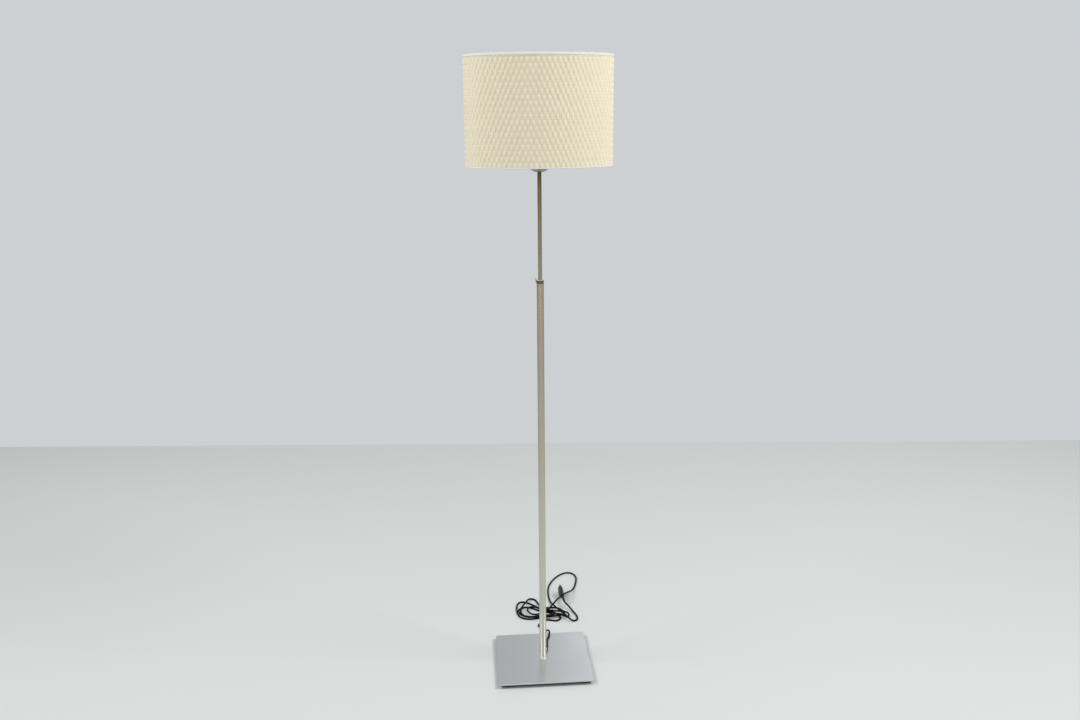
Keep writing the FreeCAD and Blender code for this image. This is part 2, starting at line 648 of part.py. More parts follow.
def make_upper_tube():
    length = "upper_tube_top - upper_tube_foot"
    keep(tube("upper_tube", "rod_outer", "rod_inner", length, "upper_tube_foot"), "upper_tube")
    keep(turned("glide_sleeve", [
        ("collar_bore", "glide_foot"), ("glide_outer", "glide_foot"), ("glide_outer", "glide_land_foot"),
        ("glide_waist", "glide_land_foot"), ("glide_waist", "glide_land_top"),
        ("glide_outer", "glide_land_top"), ("glide_outer", "glide_top"), ("collar_bore", "glide_top")]),
        "glide_sleeve")
    clips = []
    for place, foot in (("above", "glide_top + clip_play"), ("below", "glide_foot - clip_play - clip_sheet")):
        clips.append(tube("clip_" + place, "rod_outer + clip_reach", "rod_outer", "clip_sheet", foot))
    keep(group("retaining_clips", clips), "retaining_clips")


# ---- lampholder --------------------------------------------------------------------------------

def make_dish():
    """Shallow spherical dish, hollow side up."""
    balls = []
    for side, shrink in (("outside", "0"), ("inside", "dish_sheet")):
        ball = doc.addObject("Part::Sphere", "dish_" + side)
        bind(ball, Radius="dish_ball - " + shrink, Placement__Base__z="dish_foot + dish_ball")
        balls.append(ball)
    shell = cut("dish_shell", balls[0], balls[1])
    bowl = doc.addObject("Part::Common", "dish_bowl")
    bowl.Base = shell
    bowl.Tool = rod("dish_limit", "dish_diameter / 2", "dish_depth + 2", "dish_foot - 2")
    hole = rod("dish_hole", "rod_outer", "dish_depth", "dish_foot - 2")
    keep(cut("holder_dish", bowl, hole), "holder_dish")


def make_holder():
    cap = turned("holder_cap", [
        ("rod_outer", "cap_foot"), ("neck_outer", "cap_foot"), ("neck_outer", "neck_top"),
        ("cap_outer", "flare_top"), ("cap_outer", "cap_top"), ("cap_inner", "cap_top"),
        ("cap_inner", "flare_top + 0.8"), ("neck_outer", "cap_floor"), ("rod_outer", "cap_floor")])
    hole = ring_sketch(new_sketch(cap, "spindle_mark", "YZ_Plane"), "spindle_hole", None, "switch_height")
    pocket(cap, hole, "cap_outer + 1", True)
    turn_about_z(cap, "switch_bearing")
    keep(cap, "holder_cap")

    keep(turned("holder_shell", [
        ("cap_inner", "cap_top"), ("cap_outer", "cap_top"), ("cap_outer", "flange_foot"),
        ("flange_outer", "flange_foot"), ("flange_outer", "flange_top"), ("shell_thread", "flange_top"),
        ("shell_thread", "thread_top"), ("shell_lip", "thread_top + holder_thread_start"), ("shell_lip", "shell_top"),
        ("mouth_wall", "shell_top"), ("mouth_wall", "contact_top"), ("contact_outer", "contact_top"),
        ("contact_outer", "contact_foot - 0.5"), ("cap_inner", "contact_foot - 2")]),
        "holder_shell")
    keep(turned("holder_insert", [
        ("0", "insert_foot"), ("insert_outer", "insert_foot"), ("insert_outer", "insert_top"),
        ("contact_outer - 1", "insert_top"), ("contact_outer - 1", "contact_foot"),
        ("tab_outer", "contact_foot"), ("tab_outer", "insert_top"), ("0", "insert_top")]),
        "holder_insert")
    keep(turned("screw_contact", [
        ("contact_hole", "contact_foot"), ("contact_outer", "contact_foot"),
        ("contact_outer", "contact_top"), ("lamp_wall", "contact_top"), ("lamp_wall", "contact_floor"),
        ("contact_hole", "contact_floor")]), "screw_contact")
    keep(turned("centre_contact", [
        ("0", "insert_top"), ("tab_outer - 1", "insert_top"), ("tab_outer - 1", "tab_top - 0.6"),
        ("tab_outer - 1.6", "tab_top"), ("0", "tab_top")]), "centre_contact")
    screws = []
    for i, way in enumerate(("", "0 - ")):
        head = rod("terminal_%d" % (i + 1), "terminal_head / 2", "insert_sink", "insert_foot - insert_sink")
        screws.append(bind(head, Placement__Base__x=way + "terminal_spread / 2 * cos( switch_bearing + 90 )",
                           Placement__Base__y=way + "terminal_spread / 2 * sin( switch_bearing + 90 )"))
    keep(group("terminal_screws", screws), "terminal_screws")


def make_switch():
    unit = new_body("switch_unit")
    plan = new_sketch(unit, "switch_unit_plan", "XY_Plane", "switch_height - switch_box_height / 2")
    far = "switch_box_start + switch_box_depth"
    outline(plan, [("switch_box_start", "0 - switch_box_width / 2"), (far, "0 - switch_box_width / 2"),
                   (far, "switch_box_width / 2"), ("switch_box_start", "switch_box_width / 2")])
    pad(unit, plan, "switch_box_height")
    keep(turn_about_z(unit, "switch_bearing"), "switch_unit")
    knob = turned("switch_knob", [
        ("spindle_start", "0"), ("spindle_start", "spindle_outer"), ("knob_start", "spindle_outer"),
        ("knob_start", "knob_outer - bevel"), ("knob_start + bevel", "knob_outer"),
        ("knob_end - bevel", "knob_tip"), ("knob_end", "knob_tip - bevel"), ("knob_end", "0")],
        axis="H_Axis")
    knob.setExpression("Placement", with_sheet(
        "placement(vector( 0 ; 0 ; switch_height ); vector( 0 ; 0 ; 1 ); switch_bearing )"))
    keep(knob, "switch_knob")


# ---- shade -------------------------------------------------------------------------------------

def oval_sketch(body, name, height, depth):
    """The shade's plan, some depth inside its outermost face: two end arcs and two side arcs.

    The four arcs share tangents, and every depth shares their centres."""
    sketch = new_sketch(body, name, "XY_Plane", height)
    end_x, side_y = number("end_centre"), number("side_centre")
    end_radius, side_radius = number("shade_end_radius - " + depth), number("side_radius - " + depth)
    turn = math.atan2(side_y, end_x)
    arcs = [(end_x, 0, end_radius, -turn, turn), (0, -side_y, side_radius, turn, math.pi - turn),
            (-end_x, 0, end_radius, math.pi - turn, math.pi + turn),
            (0, side_y, side_radius, math.pi + turn, 2 * math.pi - turn)]
    for x, y, radius, start, stop in arcs:
        circle = Part.Circle(Vector(x, y, 0), Vector(0, 0, 1), radius)
        sketch.addGeometry(Part.ArcOfCircle(circle, start, stop), False)
    for i in range(4):
        sketch.addConstraint(Sketcher.Constraint("Tangent", i, 2, (i + 1) % 4, 1))
    held = [("DistanceX", 0, end_x, "end_centre"), ("DistanceX", 2, -end_x, "0 - end_centre"),
            ("DistanceY", 0, 0, "0"), ("DistanceY", 2, 0, "0"),
            ("DistanceY", 1, -side_y, "0 - side_centre"), ("DistanceY", 3, side_y, "side_centre")]
    for kind, arc, value, formula in held:
        at = sketch.addConstraint(Sketcher.Constraint(kind, -1, 1, arc, 3, value))
        sketch.setExpression("Constraints[%d]" % at, with_sheet(formula))
    for arc in (0, 2):
        at = sketch.addConstraint(Sketcher.Constraint("Radius", arc, end_radius))
        sketch.setExpression("Constraints[%d]" % at, with_sheet("shade_end_radius - " + depth))
    return sketch


def oval_wall(name, outer_depth, inner_depth, height, foot):
    """An upright oval wall between two depths."""
    body = new_body(name)
    pad(body, oval_sketch(body, name + "_outside", foot, outer_depth), height)
    pocket(body, oval_sketch(body, name + "_inside", foot, inner_depth), height + " + 1", True)
    return body


def rim_wire(name, height):
    """A round wire bent to the oval: four torus stretches, in a list."""
    ends = "shade_end_radius - wire_depth"
    sides = "side_radius - wire_depth"
    stretches = []
    for i, (way_x, way_y, radius, start, turn) in enumerate([
            ("end_centre", "0", ends, "0 deg - end_turn", "2 * end_turn"),
            ("0", "0 - side_centre", sides, "end_turn", "180 deg - 2 * end_turn"),
            ("0 - end_centre", "0", ends, "180 deg - end_turn", "2 * end_turn"),
            ("0", "side_centre", sides, "180 deg + end_turn", "180 deg - 2 * end_turn")]):
        stretch = bind(doc.addObject("Part::Torus", "%s_%d" % (name, i + 1)), Radius1=radius,
                       Radius2="wire_radius", Angle3=turn)
        stretch.setExpression("Placement", with_sheet(
            "placement(vector( %s ; %s ; %s ); vector( 0 ; 0 ; 1 ); %s )" % (way_x, way_y, height, start)))
        stretches.append(stretch)
    return stretches


def spider_arm(name, reach, degrees):
    """One bent rod, from the hub's edge out and down to the bottom rim wire."""
    radius = "arm_diameter / 2"
    shelf = bind(doc.addObject("Part::Cylinder", name + "_shelf"), Radius=radius, Height="arm_bend - arm_start")
    shelf.setExpression("Placement", with_sheet(
        "placement(vector( arm_start ; 0 ; hub_middle ); vector( 0 ; 1 ; 0 ); 90 )"))
    elbow = bind(doc.addObject("Part::Sphere", name + "_elbow"), Radius=radius, Placement__Base__x="arm_bend",
                 Placement__Base__z="hub_middle")
    drop = "( hub_middle - bottom_wire_height )"
    run = "( %s - arm_bend )" % reach
    slope = bind(doc.addObject("Part::Cylinder", name + "_slope"), Radius=radius,
                 Height="sqrt(%s ^ 2 + %s ^ 2)" % (drop, run))
    slope.setExpression("Placement", with_sheet(
        "placement(vector( arm_bend ; 0 ; hub_middle ); vector( 0 ; 1 ; 0 ); 90 deg + atan(%s / %s) )" % (drop, run)))
    return turn_about_z(fuse(name, [shelf, elbow, slope]), degrees)


def make_shade():
    keep(oval_wall("shade_cover", "cloth_depth", "liner_depth", "cloth_height", "cloth_foot"), "shade_cover")
    keep(oval_wall("shade_liner", "liner_depth", "inside_depth", "cloth_height", "cloth_foot"), "shade_liner")
    for place, height, foot, room_foot, room_height in (
            ("top", "trim_top_height", "shade_top - trim_top_height", "shade_top - trim_top_height",
             "trim_top_height - trim_thickness"),
            ("bottom", "trim_bottom_height", "shade_bottom", "cloth_foot", "trim_bottom_height")):
        name = "shade_trim_" + place
        band = oval_wall(name, "0", "inside_depth", height, foot)
        room = oval_sketch(band, name + "_room", room_foot, "cloth_depth")
        pocket(band, room, room_height, True)
        keep(band, name)
    keep(fuse("shade_top_wire", rim_wire("top_wire", "top_wire_height")), "shade_top_wire")
    hub = tube("spider_hub", "hub_outer", "hub_hole", "hub_sheet", "hub_foot")
    arms = [spider_arm("arm_left", "wire_long", "180"), spider_arm("arm_right", "wire_long", "0"),
            spider_arm("arm_front", "wire_short", "270"), spider_arm("arm_back", "wire_short", "90")]
    keep(fuse("shade_spider", [hub] + arms + rim_wire("bottom_wire", "bottom_wire_height")), "shade_spider")


def make_ring_nut():
    """Ring nut with finger grooves round its edge."""
    nut = turned("shade_ring_nut", [
        ("shell_thread", "hub_top"), ("nut_outer", "hub_top"), ("nut_outer", "nut_top - bevel"),
        ("nut_outer - bevel", "nut_top"), ("shell_thread", "nut_top")])
    mark = ring_sketch(new_sketch(nut, "nut_groove_mark", "XY_Plane", "hub_top"), "ring_nut_groove / 2",
                       "nut_outer + ring_nut_groove / 2 - groove_depth", "0")
    groove = pocket(nut, mark, "ring_nut_height + 1", True)
    doc.recompute()
    pattern = nut.newObject("PartDesign::PolarPattern", "nut_grooves")
    pattern.Originals = [groove]
    pattern.Axis = (mark, ["N_Axis"])
    pattern.Angle = 360
    bind(pattern, Occurrences="ring_nut_grips")
    nut.Tip = pattern
    keep(nut, "shade_ring_nut")


# ---- flex and plug -----------------------------------------------------------------------------

FLOOR_LEVEL = 2.6          # centre of a cord that lies on the floor

# Routes of the free flex, x, y, z. The lead leaves the outlet, crosses the base and drops off its
# rear edge. The loop rises out of the hank, over the plug's strain relief, and lies down behind it.
LEAD_ROUTE = [
    (14.707, 40.407, 22.0), (16.6, 54.0, 18.2), (16.8, 71.0, 16.9), (18.5, 88.0, 16.9), (24.5, 101.0, 17.6),
    (28.0, 114.0, 20.5), (27.0, 128.0, 21.0), (23.5, 140.0, 15.0), (20.5, 151.0, 7.0),
    (16.0, 163.0, FLOOR_LEVEL), (8.5, 176.0, FLOOR_LEVEL), (0.5, 189.0, FLOOR_LEVEL),
    (7.5, 202.0, FLOOR_LEVEL), (15.0, 213.0, FLOOR_LEVEL), (26.0, 221.5, FLOOR_LEVEL)]
LOOP_ROUTE = [
    (42.0, 272.0, 13.0), (54.0, 287.0, 18.5), (66.0, 300.0, 25.0), (80.0, 311.0, 29.5),
    (94.0, 329.0, 29.5), (106.0, 353.0, 21.0), (119.0, 382.0, 9.0), (131.0, 412.0, 2.8),
    (140.0, 446.0, FLOOR_LEVEL), (145.5, 475.0, FLOOR_LEVEL), (144.0, 500.0, FLOOR_LEVEL),
    (132.0, 518.0, FLOOR_LEVEL), (113.0, 520.0, FLOOR_LEVEL), (94.0, 507.0, FLOOR_LEVEL),
    (76.0, 485.0, FLOOR_LEVEL), (61.0, 457.0, FLOOR_LEVEL), (50.5, 425.0, FLOOR_LEVEL),
    (46.5, 391.0, FLOOR_LEVEL), (46.0, 358.0, FLOOR_LEVEL), (48.0, 332.0, FLOOR_LEVEL),
    (52.0, 310.0, 6.0), (57.5, 290.0, 10.5), (63.0, 272.0, 12.5)]
TAIL_ROUTE = [
    (89.08, 295.2, 17.65), (98.0, 287.0, 12.5), (105.5, 276.0, 6.5), (112.0, 262.0, 3.0),
    (118.0, 246.0, FLOOR_LEVEL), (121.0, 230.0, FLOOR_LEVEL), (119.0, 214.5, FLOOR_LEVEL),
    (110.5, 207.5, FLOOR_LEVEL), (101.0, 208.5, 5.0), (91.0, 217.5, 10.5), (82.5, 229.0, 14.6)]
# Centre and radius of the hank's lobes, in the order in which its outline goes round them.
HANK_LOBES = [
    (-22.0, 264.0, 37.5), (56.0, 246.0, 35.5), (86.0, 240.0, 13.5), (62.0, 274.0, 25.0),
    (-6.0, 338.0, 18.5), (-34.0, 313.0, 26.5)]
PLUG_FACE = Vector(83.5, 375.0, 0)   # middle of the plug's face, on the floor
PLUG_BEARING = 94                    # the way the pins point, degrees from +X


def rounded_path(points, radius=None):
    """Straight runs joined by tangent arcs. Each arc is as large as its two runs allow."""
    edges = []
    radii = []
    here = points[0]
    for before, corner, after in zip(points, points[1:], points[2:]):
        inward = (corner - before).normalize()
        outward = (after - corner).normalize()
        half_turn = inward.getAngle(outward) / 2
        shorter = min((corner - before).Length, (after - corner).Length)
        bend = radius or 0.45 * shorter / math.tan(half_turn)
        trim = bend * math.tan(half_turn)
        start = corner - inward * trim
        end = corner + outward * trim
        to_centre = (outward - inward).normalize()
        middle = corner + to_centre * (bend / math.cos(half_turn) - bend)
        edges.append(Part.LineSegment(here, start).toShape())
        edges.append(Part.Arc(start, middle, end).toShape())
        radii.append(bend)
        here = end
    edges.append(Part.LineSegment(here, points[-1]).toShape())
    return Part.Wire(edges), radii


def flex_tube(name, points, radius=None):
    """A plain round tube along a rounded path, checked against its section times its length."""
    path, radii = rounded_path(points, radius)
    flex = size_of("flex")
    along = (points[1] - points[0]).normalize()
    section = Part.Wire([Part.Circle(points[0], along, flex).toShape()])
    solid = path.makePipeShell([section], True, False)
    expected = math.pi * flex ** 2 * path.Length
    print("%s: %.0f mm long, radii %s" % (name, path.Length, " ".join("%.0f" % r for r in radii)))
    if abs(solid.Volume / expected - 1) > 0.01:
        raise ValueError("%s: volume %.0f, expected %.0f" % (name, solid.Volume, expected))
    piece = doc.addObject("Part::Feature", name)
    piece.Shape = solid
    return keep(piece, name)


def vectors(route):
    return [Vector(*point) for point in route]


def make_inner_flex():
    """The flex inside the pole: in through the outlet, and up to the terminals."""
    bearing = math.radians(size_of("gland_bearing"))
    reach = size_of("gland_reach")
    level = size_of("gland_height")
    tip = Vector(reach * math.sin(bearing), reach * math.cos(bearing), level)
    foot = size_of("upper_tube_foot")
    flex_tube("inner_flex_lower", [tip, Vector(0, 0, level), Vector(0, 0, foot)], size_of("inner_bend"))
    keep(rod("inner_flex_upper", "flex", "insert_foot - upper_tube_foot", "upper_tube_foot"),
         "inner_flex_upper")
    return tip


def make_hank():
    """The lying hank of spare flex, a slab whose outline is a belt round its lobes."""
    lobes = [(Vector(x, y, 0), radius) for x, y, radius in HANK_LOBES]
    leaving = []
    reaching = []
    for (centre, radius), (after, radius_after) in zip(lobes, lobes[1:] + lobes[:1]):
        along = math.atan2(after.y - centre.y, after.x - centre.x)
        outward = along - math.acos((radius - radius_after) / (after - centre).Length)
        normal = Vector(math.cos(outward), math.sin(outward), 0)
        leaving.append((centre + normal * radius, outward))
        reaching.append((after + normal * radius_after, outward))
    edges = []
    for i, (centre, radius) in enumerate(lobes):
        start, start_angle = reaching[i - 1]
        end, end_angle = leaving[i]
        middle_angle = start_angle + ((end_angle - start_angle) % (2 * math.pi)) / 2
        middle = centre + Vector(math.cos(middle_angle), math.sin(middle_angle), 0) * radius
        edges.append(Part.Arc(start, middle, end).toShape())
        edges.append(Part.LineSegment(end, reaching[i][0]).toShape())
    slab = Part.Face(Part.Wire(edges)).extrude(Vector(0, 0, size_of("hank_height")))
    flat_edges = [edge for edge in slab.Edges if edge.BoundBox.ZLength < 1e-6]
    piece = doc.addObject("Part::Feature", "cord_hank")
    piece.Shape = slab.makeFillet(size_of("hank_edge"), flat_edges)
    keep(piece, "cord_hank")


def plug_section(body, name, back, width, thickness, side, edge):
    """An eight-sided section across the plug, which stands on one narrow edge."""
    sketch = new_sketch(body, name, "YZ_Plane", "0 - " + back)
    high, low = width + " / 2", "0 - " + width + " / 2"
    far, near = thickness + " / 2", "0 - " + thickness + " / 2"
    side_top, side_foot = side + " / 2", "0 - " + side + " / 2"
    edge_far, edge_near = edge + " / 2", "0 - " + edge + " / 2"
    return outline(sketch, [
        (edge_near, low), (edge_far, low), (far, side_foot), (far, side_top),
        (edge_far, high), (edge_near, high), (near, side_top), (near, side_foot)])


def make_mains_plug():
    body = new_body("mains_plug")
    face_form = ("mains_plug_width", "mains_plug_thickness", "pin_spread", "mains_plug_edge")
    neck_form = ("mains_plug_neck_width", "mains_plug_neck", "mains_plug_neck_side", "mains_plug_neck_edge")
    loft = body.newObject("PartDesign::AdditiveLoft", "plug_loft")
    loft.Profile = plug_section(body, "plug_face", "0", *face_form)
    loft.Sections = [plug_section(body, "plug_shoulder", "mains_plug_shoulder", *face_form),
                     plug_section(body, "plug_neck", "mains_plug_length", *neck_form)]
    loft.Ruled = True
    doc.recompute()
    section = new_sketch(body, "relief_section", "XZ_Plane")
    outline(section, [
        ("relief_overlap - mains_plug_length", "0"), ("relief_overlap - mains_plug_length", "relief_start / 2"),
        ("0 - mains_plug_length - relief_length", "relief_end / 2"),
        ("0 - mains_plug_length - relief_length", "0")])
    relief = body.newObject("PartDesign::Revolution", "relief_turn")
    relief.Profile = section
    relief.ReferenceAxis = (section, ["H_Axis"])
    relief.Angle = 360
    place_on_plug_line(body)
    keep(body, "plug_body")

    pins = []
    sleeves = []
    for i, way in enumerate(("", "0 - ")):
        offset = way + "pin_spread / 2"
        stem = turned("pin_stem_%d" % (i + 1), [
            ("0", "0"), ("pin_length", "0"), ("pin_length", "pin_outer - bevel"),
            ("pin_length - bevel", "pin_outer"), ("pin_sleeve", "pin_outer"), ("pin_sleeve", "pin_core"),
            ("0", "pin_core")], axis="H_Axis")
        pins.append(stem)
        sleeve = turned("pin_sleeve_%d" % (i + 1), [
            ("0", "pin_core"), ("pin_sleeve", "pin_core"), ("pin_sleeve", "pin_outer - pin_sleeve_relief"),
            ("0", "pin_outer - pin_sleeve_relief")], axis="H_Axis")
        sleeves.append(sleeve)
        for piece in (stem, sleeve):
            bind(piece, Placement__Base__z=offset)
    for name, pieces in (("plug_pins", pins), ("plug_pin_sleeves", sleeves)):
        keep(place_on_plug_line(group(name, pieces)), name)


def place_on_plug_line(thing):
    """Turns a piece made along +X to the plug's bearing and lifts it to the plug's middle."""
    lift = size_of("mains_plug_width") / 2
    thing.Placement = FreeCAD.Placement(PLUG_FACE + Vector(0, 0, lift),
                                        Rotation(Vector(0, 0, 1), PLUG_BEARING))
    return thing


def make_free_flex(outlet_tip):
    back = size_of("mains_plug_length") + size_of("relief_length")
    bearing = math.radians(PLUG_BEARING)
    relief_end = PLUG_FACE - Vector(back * math.cos(bearing), back * math.sin(bearing), 0)
    relief_end.z = size_of("mains_plug_width") / 2
    flex_tube("cord_lead", [outlet_tip] + vectors(LEAD_ROUTE))
    flex_tube("cord_loop", vectors(LOOP_ROUTE))
    flex_tube("cord_tail", [relief_end] + vectors(TAIL_ROUTE))


# ---- whole lamp --------------------------------------------------------------------------------

def check_and_export():
    doc.recompute()
    for thing in doc.Objects:
        if "Invalid" in thing.State or "Error" in thing.State:
            raise ValueError("%s: %s" % (thing.Label, thing.State))
    os.makedirs("parts", exist_ok=True)
    for piece in PARTS:
        shape = piece.Shape
        if shape.isNull() or not shape.isValid() or not shape.Solids:
            raise ValueError("%s has no valid solid" % piece.Label)
        shape.exportStep("parts/%s.step" % piece.Label)
        print("%-20s solids %d  volume %.0f mm3" % (piece.Label, len(shape.Solids), shape.Volume))


fill_sheet()
make_base_cover()
make_base_weight()
make_base_feet()
make_pole_fixing()
make_lower_tube()
make_cord_gland()
make_lock()
make_upper_tube()
make_dish()
make_holder()
make_switch()
make_shade()
make_ring_nut()
outlet = make_inner_flex()
make_hank()
make_mains_plug()
make_free_flex(outlet)
check_and_export()
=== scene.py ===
"""Telescopic floor lamp with an oval woven shade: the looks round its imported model.

Lengths in the tables below are millimetres. Every mesh is made in metres, in the model's own frame.
"""
import math

import bmesh
import bpy
from bpy.props import FloatProperty, FloatVectorProperty, IntProperty, PointerProperty
from mathutils import Matrix, Vector, noise
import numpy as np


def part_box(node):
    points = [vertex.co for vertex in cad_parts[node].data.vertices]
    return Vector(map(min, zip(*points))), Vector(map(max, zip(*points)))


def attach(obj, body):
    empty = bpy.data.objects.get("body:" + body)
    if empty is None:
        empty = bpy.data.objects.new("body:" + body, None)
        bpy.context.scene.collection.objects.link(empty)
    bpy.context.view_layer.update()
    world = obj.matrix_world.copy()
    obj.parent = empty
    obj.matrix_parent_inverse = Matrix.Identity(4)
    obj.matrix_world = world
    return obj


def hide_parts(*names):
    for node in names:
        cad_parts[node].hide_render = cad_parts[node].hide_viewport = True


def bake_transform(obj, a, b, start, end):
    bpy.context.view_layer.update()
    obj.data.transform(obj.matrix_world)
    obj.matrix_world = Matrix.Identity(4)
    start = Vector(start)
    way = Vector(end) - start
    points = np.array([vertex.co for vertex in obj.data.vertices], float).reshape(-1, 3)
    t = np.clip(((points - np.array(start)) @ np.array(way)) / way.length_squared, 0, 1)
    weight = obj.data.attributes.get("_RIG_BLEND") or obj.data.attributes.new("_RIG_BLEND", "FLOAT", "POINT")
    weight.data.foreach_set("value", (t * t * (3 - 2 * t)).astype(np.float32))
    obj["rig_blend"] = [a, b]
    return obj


bl_info = {
    "name": "Telescopic floor lamp",
    "version": (1, 0, 0),
    "blender": (4, 5, 0),
    "location": "3D View > Sidebar > Floor lamp",
    "description": "Builds a telescopic floor lamp with an oval woven shade",
    "category": "Object",
}

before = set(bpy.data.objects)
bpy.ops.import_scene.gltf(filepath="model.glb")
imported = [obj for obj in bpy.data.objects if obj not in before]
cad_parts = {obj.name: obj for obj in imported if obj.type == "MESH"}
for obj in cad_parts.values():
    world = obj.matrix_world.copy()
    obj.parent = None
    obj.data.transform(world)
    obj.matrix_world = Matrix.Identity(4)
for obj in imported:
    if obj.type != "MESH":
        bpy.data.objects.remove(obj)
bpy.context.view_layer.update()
MM = 0.001


# ---- colours and nodes -------------------------------------------------------------------------

def paint(code):
    """An sRGB hex colour as linear red, green and blue."""
    parts = [int(code[i:i + 2], 16) / 255 for i in (0, 2, 4)]
    return tuple(p / 12.92 if p <= 0.04045 else ((p + 0.055) / 1.055) ** 2.4 for p in parts)


def add(tree, kind, feeds=None, **settings):
    """Adds a node with its settings, and feeds its sockets with constants or other nodes' outputs."""
    made = tree.nodes.new("ShaderNode" + kind)
    for key, value in settings.items():
        setattr(made, key, value)
    for socket, value in (feeds or {}).items():
        if isinstance(value, bpy.types.NodeSocket):
            tree.links.new(value, made.inputs[socket])
        else:
            made.inputs[socket].default_value = value
    return made


def remap(tree, value, low, high, first=0.0, last=1.0):
    """Takes a value between low and high to one between first and last."""
    return add(tree, "MapRange", {"Value": value, "From Min": low, "From Max": high, "To Min": first,
                                  "To Max": last}).outputs["Result"]


def calculate(tree, operation, *values):
    """One step of arithmetic."""
    return add(tree, "Math", dict(enumerate(values)), operation=operation).outputs[0]


def mix_colours(tree, share, first, second):
    """Goes over from one colour to another as the share goes from 0 to 1."""
    return add(tree, "Mix", {0: share, 6: first, 7: second}, data_type="RGBA").outputs[2]


# Most of a noise lies between these.
NOISE_SPAN = (0.3, 0.7)


def noise_on(tree, place, scale, detail, **feeds):
    """A noise from 0 to 1."""
    return add(tree, "TexNoise", {"Vector": place, "Scale": scale, "Detail": detail, **feeds}).outputs["Fac"]


def light_and_bump(tree, shader, colour, light, height, strength, depth):
    """Gives the shader a colour that keeps a share of light, and a bump that is deep in millimetres."""
    lit = add(tree, "VectorMath", {0: colour, "Scale": light}, operation="SCALE")
    tree.links.new(lit.outputs["Vector"], shader.inputs["Base Color"])
    bump = add(tree, "Bump", {"Height": height, "Strength": strength, "Distance": depth * MM})
    tree.links.new(bump.outputs["Normal"], shader.inputs["Normal"])


def start_finish(name, colour, roughness, **sockets):
    """A new material with its constants on the shader itself."""
    material = bpy.data.materials.new(name)
    material.use_nodes = True
    shader = material.node_tree.nodes["Principled BSDF"]
    shader.inputs["Base Color"].default_value = (*colour, 1)
    shader.inputs["Roughness"].default_value = roughness
    for socket, value in sockets.items():
        shader.inputs[socket.replace("_", " ")].default_value = value
    material.diffuse_color = (*colour, 1)
    return material, material.node_tree, shader


def grained(name, colour, keep, rough, grain, depth, stretch=(1, 1, 1), cloud=45.0, upwards=None, **sockets):
    """A new material with fine grain, as bump and shading, and broad soft patches of more and less gloss.

    The grain and the cloud are sizes in millimetres, the depth is the bump's, and keep is the share
    of light that the grain's hollows keep. With upwards, as (colour, foot, top), the finish goes over
    to a second colour between two heights."""
    material, tree, shader = start_finish(name, colour, rough[0], **sockets)
    place = add(tree, "TexCoord").outputs["Object"]
    fine = add(tree, "Mapping", {"Vector": place, "Scale": tuple(1 / (grain * MM * s) for s in stretch)})
    ridges = noise_on(tree, fine.outputs["Vector"], 1.0, 3.0)
    patches = noise_on(tree, place, 1 / (cloud * MM), 4.0)
    tree.links.new(remap(tree, patches, *NOISE_SPAN, *rough), shader.inputs["Roughness"])
    if upwards:
        second, foot, top = upwards
        level = add(tree, "SeparateXYZ", {"Vector": place}).outputs["Z"]
        colour = mix_colours(tree, remap(tree, level, foot, top), (*colour, 1), (*second, 1))
    light_and_bump(tree, shader, colour, remap(tree, ridges, *NOISE_SPAN, keep, 1.0), ridges, 0.6, depth)
    return material


def satin_nickel(name, colour, rough=(0.29, 0.36), grain=0.5, depth=0.004):
    """Plated metal, polished or lacquered: even reflections that a fine grain keeps soft."""
    return grained(name, colour, 0.93, rough, grain, depth, Metallic=1.0)


def brushed_tube(name, colour, upwards, brush):
    """Nickel over a tube brushed round and round: reflections draw out into upright streaks."""
    return grained(name, colour, 0.96, (0.33, 0.4), brush, 0.0006, (6, 6, 1), 90.0, upwards, Metallic=1.0,
                   Anisotropic=0.5, Anisotropic_Rotation=0.25)


def brushed_sheet(name, colour, brush):
    """Nickel over sheet steel brushed from side to side: reflections smear from front to back."""
    material = grained(name, colour, 0.96, (0.3, 0.35), brush, 0.0015, (30, 1, 1), 70.0, Metallic=1.0,
                       Anisotropic=0.75)
    tree = material.node_tree
    along = add(tree, "Tangent", direction_type="UV_MAP", uv_map="brushing")
    tree.links.new(along.outputs["Tangent"], tree.nodes["Principled BSDF"].inputs["Tangent"])
    return material


def moulded_plastic(name, colour, rough=(0.35, 0.45), grain=0.35, depth=0.01):
    """Injection-moulded thermoplastic: an even colour with the mould's fine spark-eroded grain."""
    return grained(name, colour, 0.95, rough, grain, depth, IOR=1.5)


def black_iron(name, colour):
    """Cast iron under sprayed black paint, whose skin shows the casting's coarse grain."""
    return grained(name, colour, 0.7, (0.4, 0.6), 1.4, 0.12, Specular_IOR_Level=0.2)


def glazed_ceramic(name, colour):
    """Steatite with a thin glaze: smooth, with broad soft highlights."""
    return grained(name, colour, 0.96, (0.14, 0.22), 2.5, 0.01, IOR=1.55, Coat_Weight=0.4,
                   Coat_Roughness=0.08)


def vinyl_skin(name, colour):
    """Extruded soft vinyl of the flex: near black, with a low gloss and faint waviness."""
    return grained(name, colour, 0.75, (0.44, 0.56), 1.6, 0.03, cloud=25.0, Specular_IOR_Level=0.12)


def yarn_lines(tree, place, yarn, way):
    """Parallel yarns, as a height from 0 to 1, on a UV map in millimetres."""
    # At a scale of 1 the texture's lines are pi / 10 apart.
    wave_scale = math.pi / 10 / (yarn / MM)
    return add(tree, "TexWave", {"Vector": place, "Scale": wave_scale, "Distortion": 1.2, "Detail": 2.0,
                                 "Detail Scale": 0.6}, bands_direction=way).outputs["Fac"]


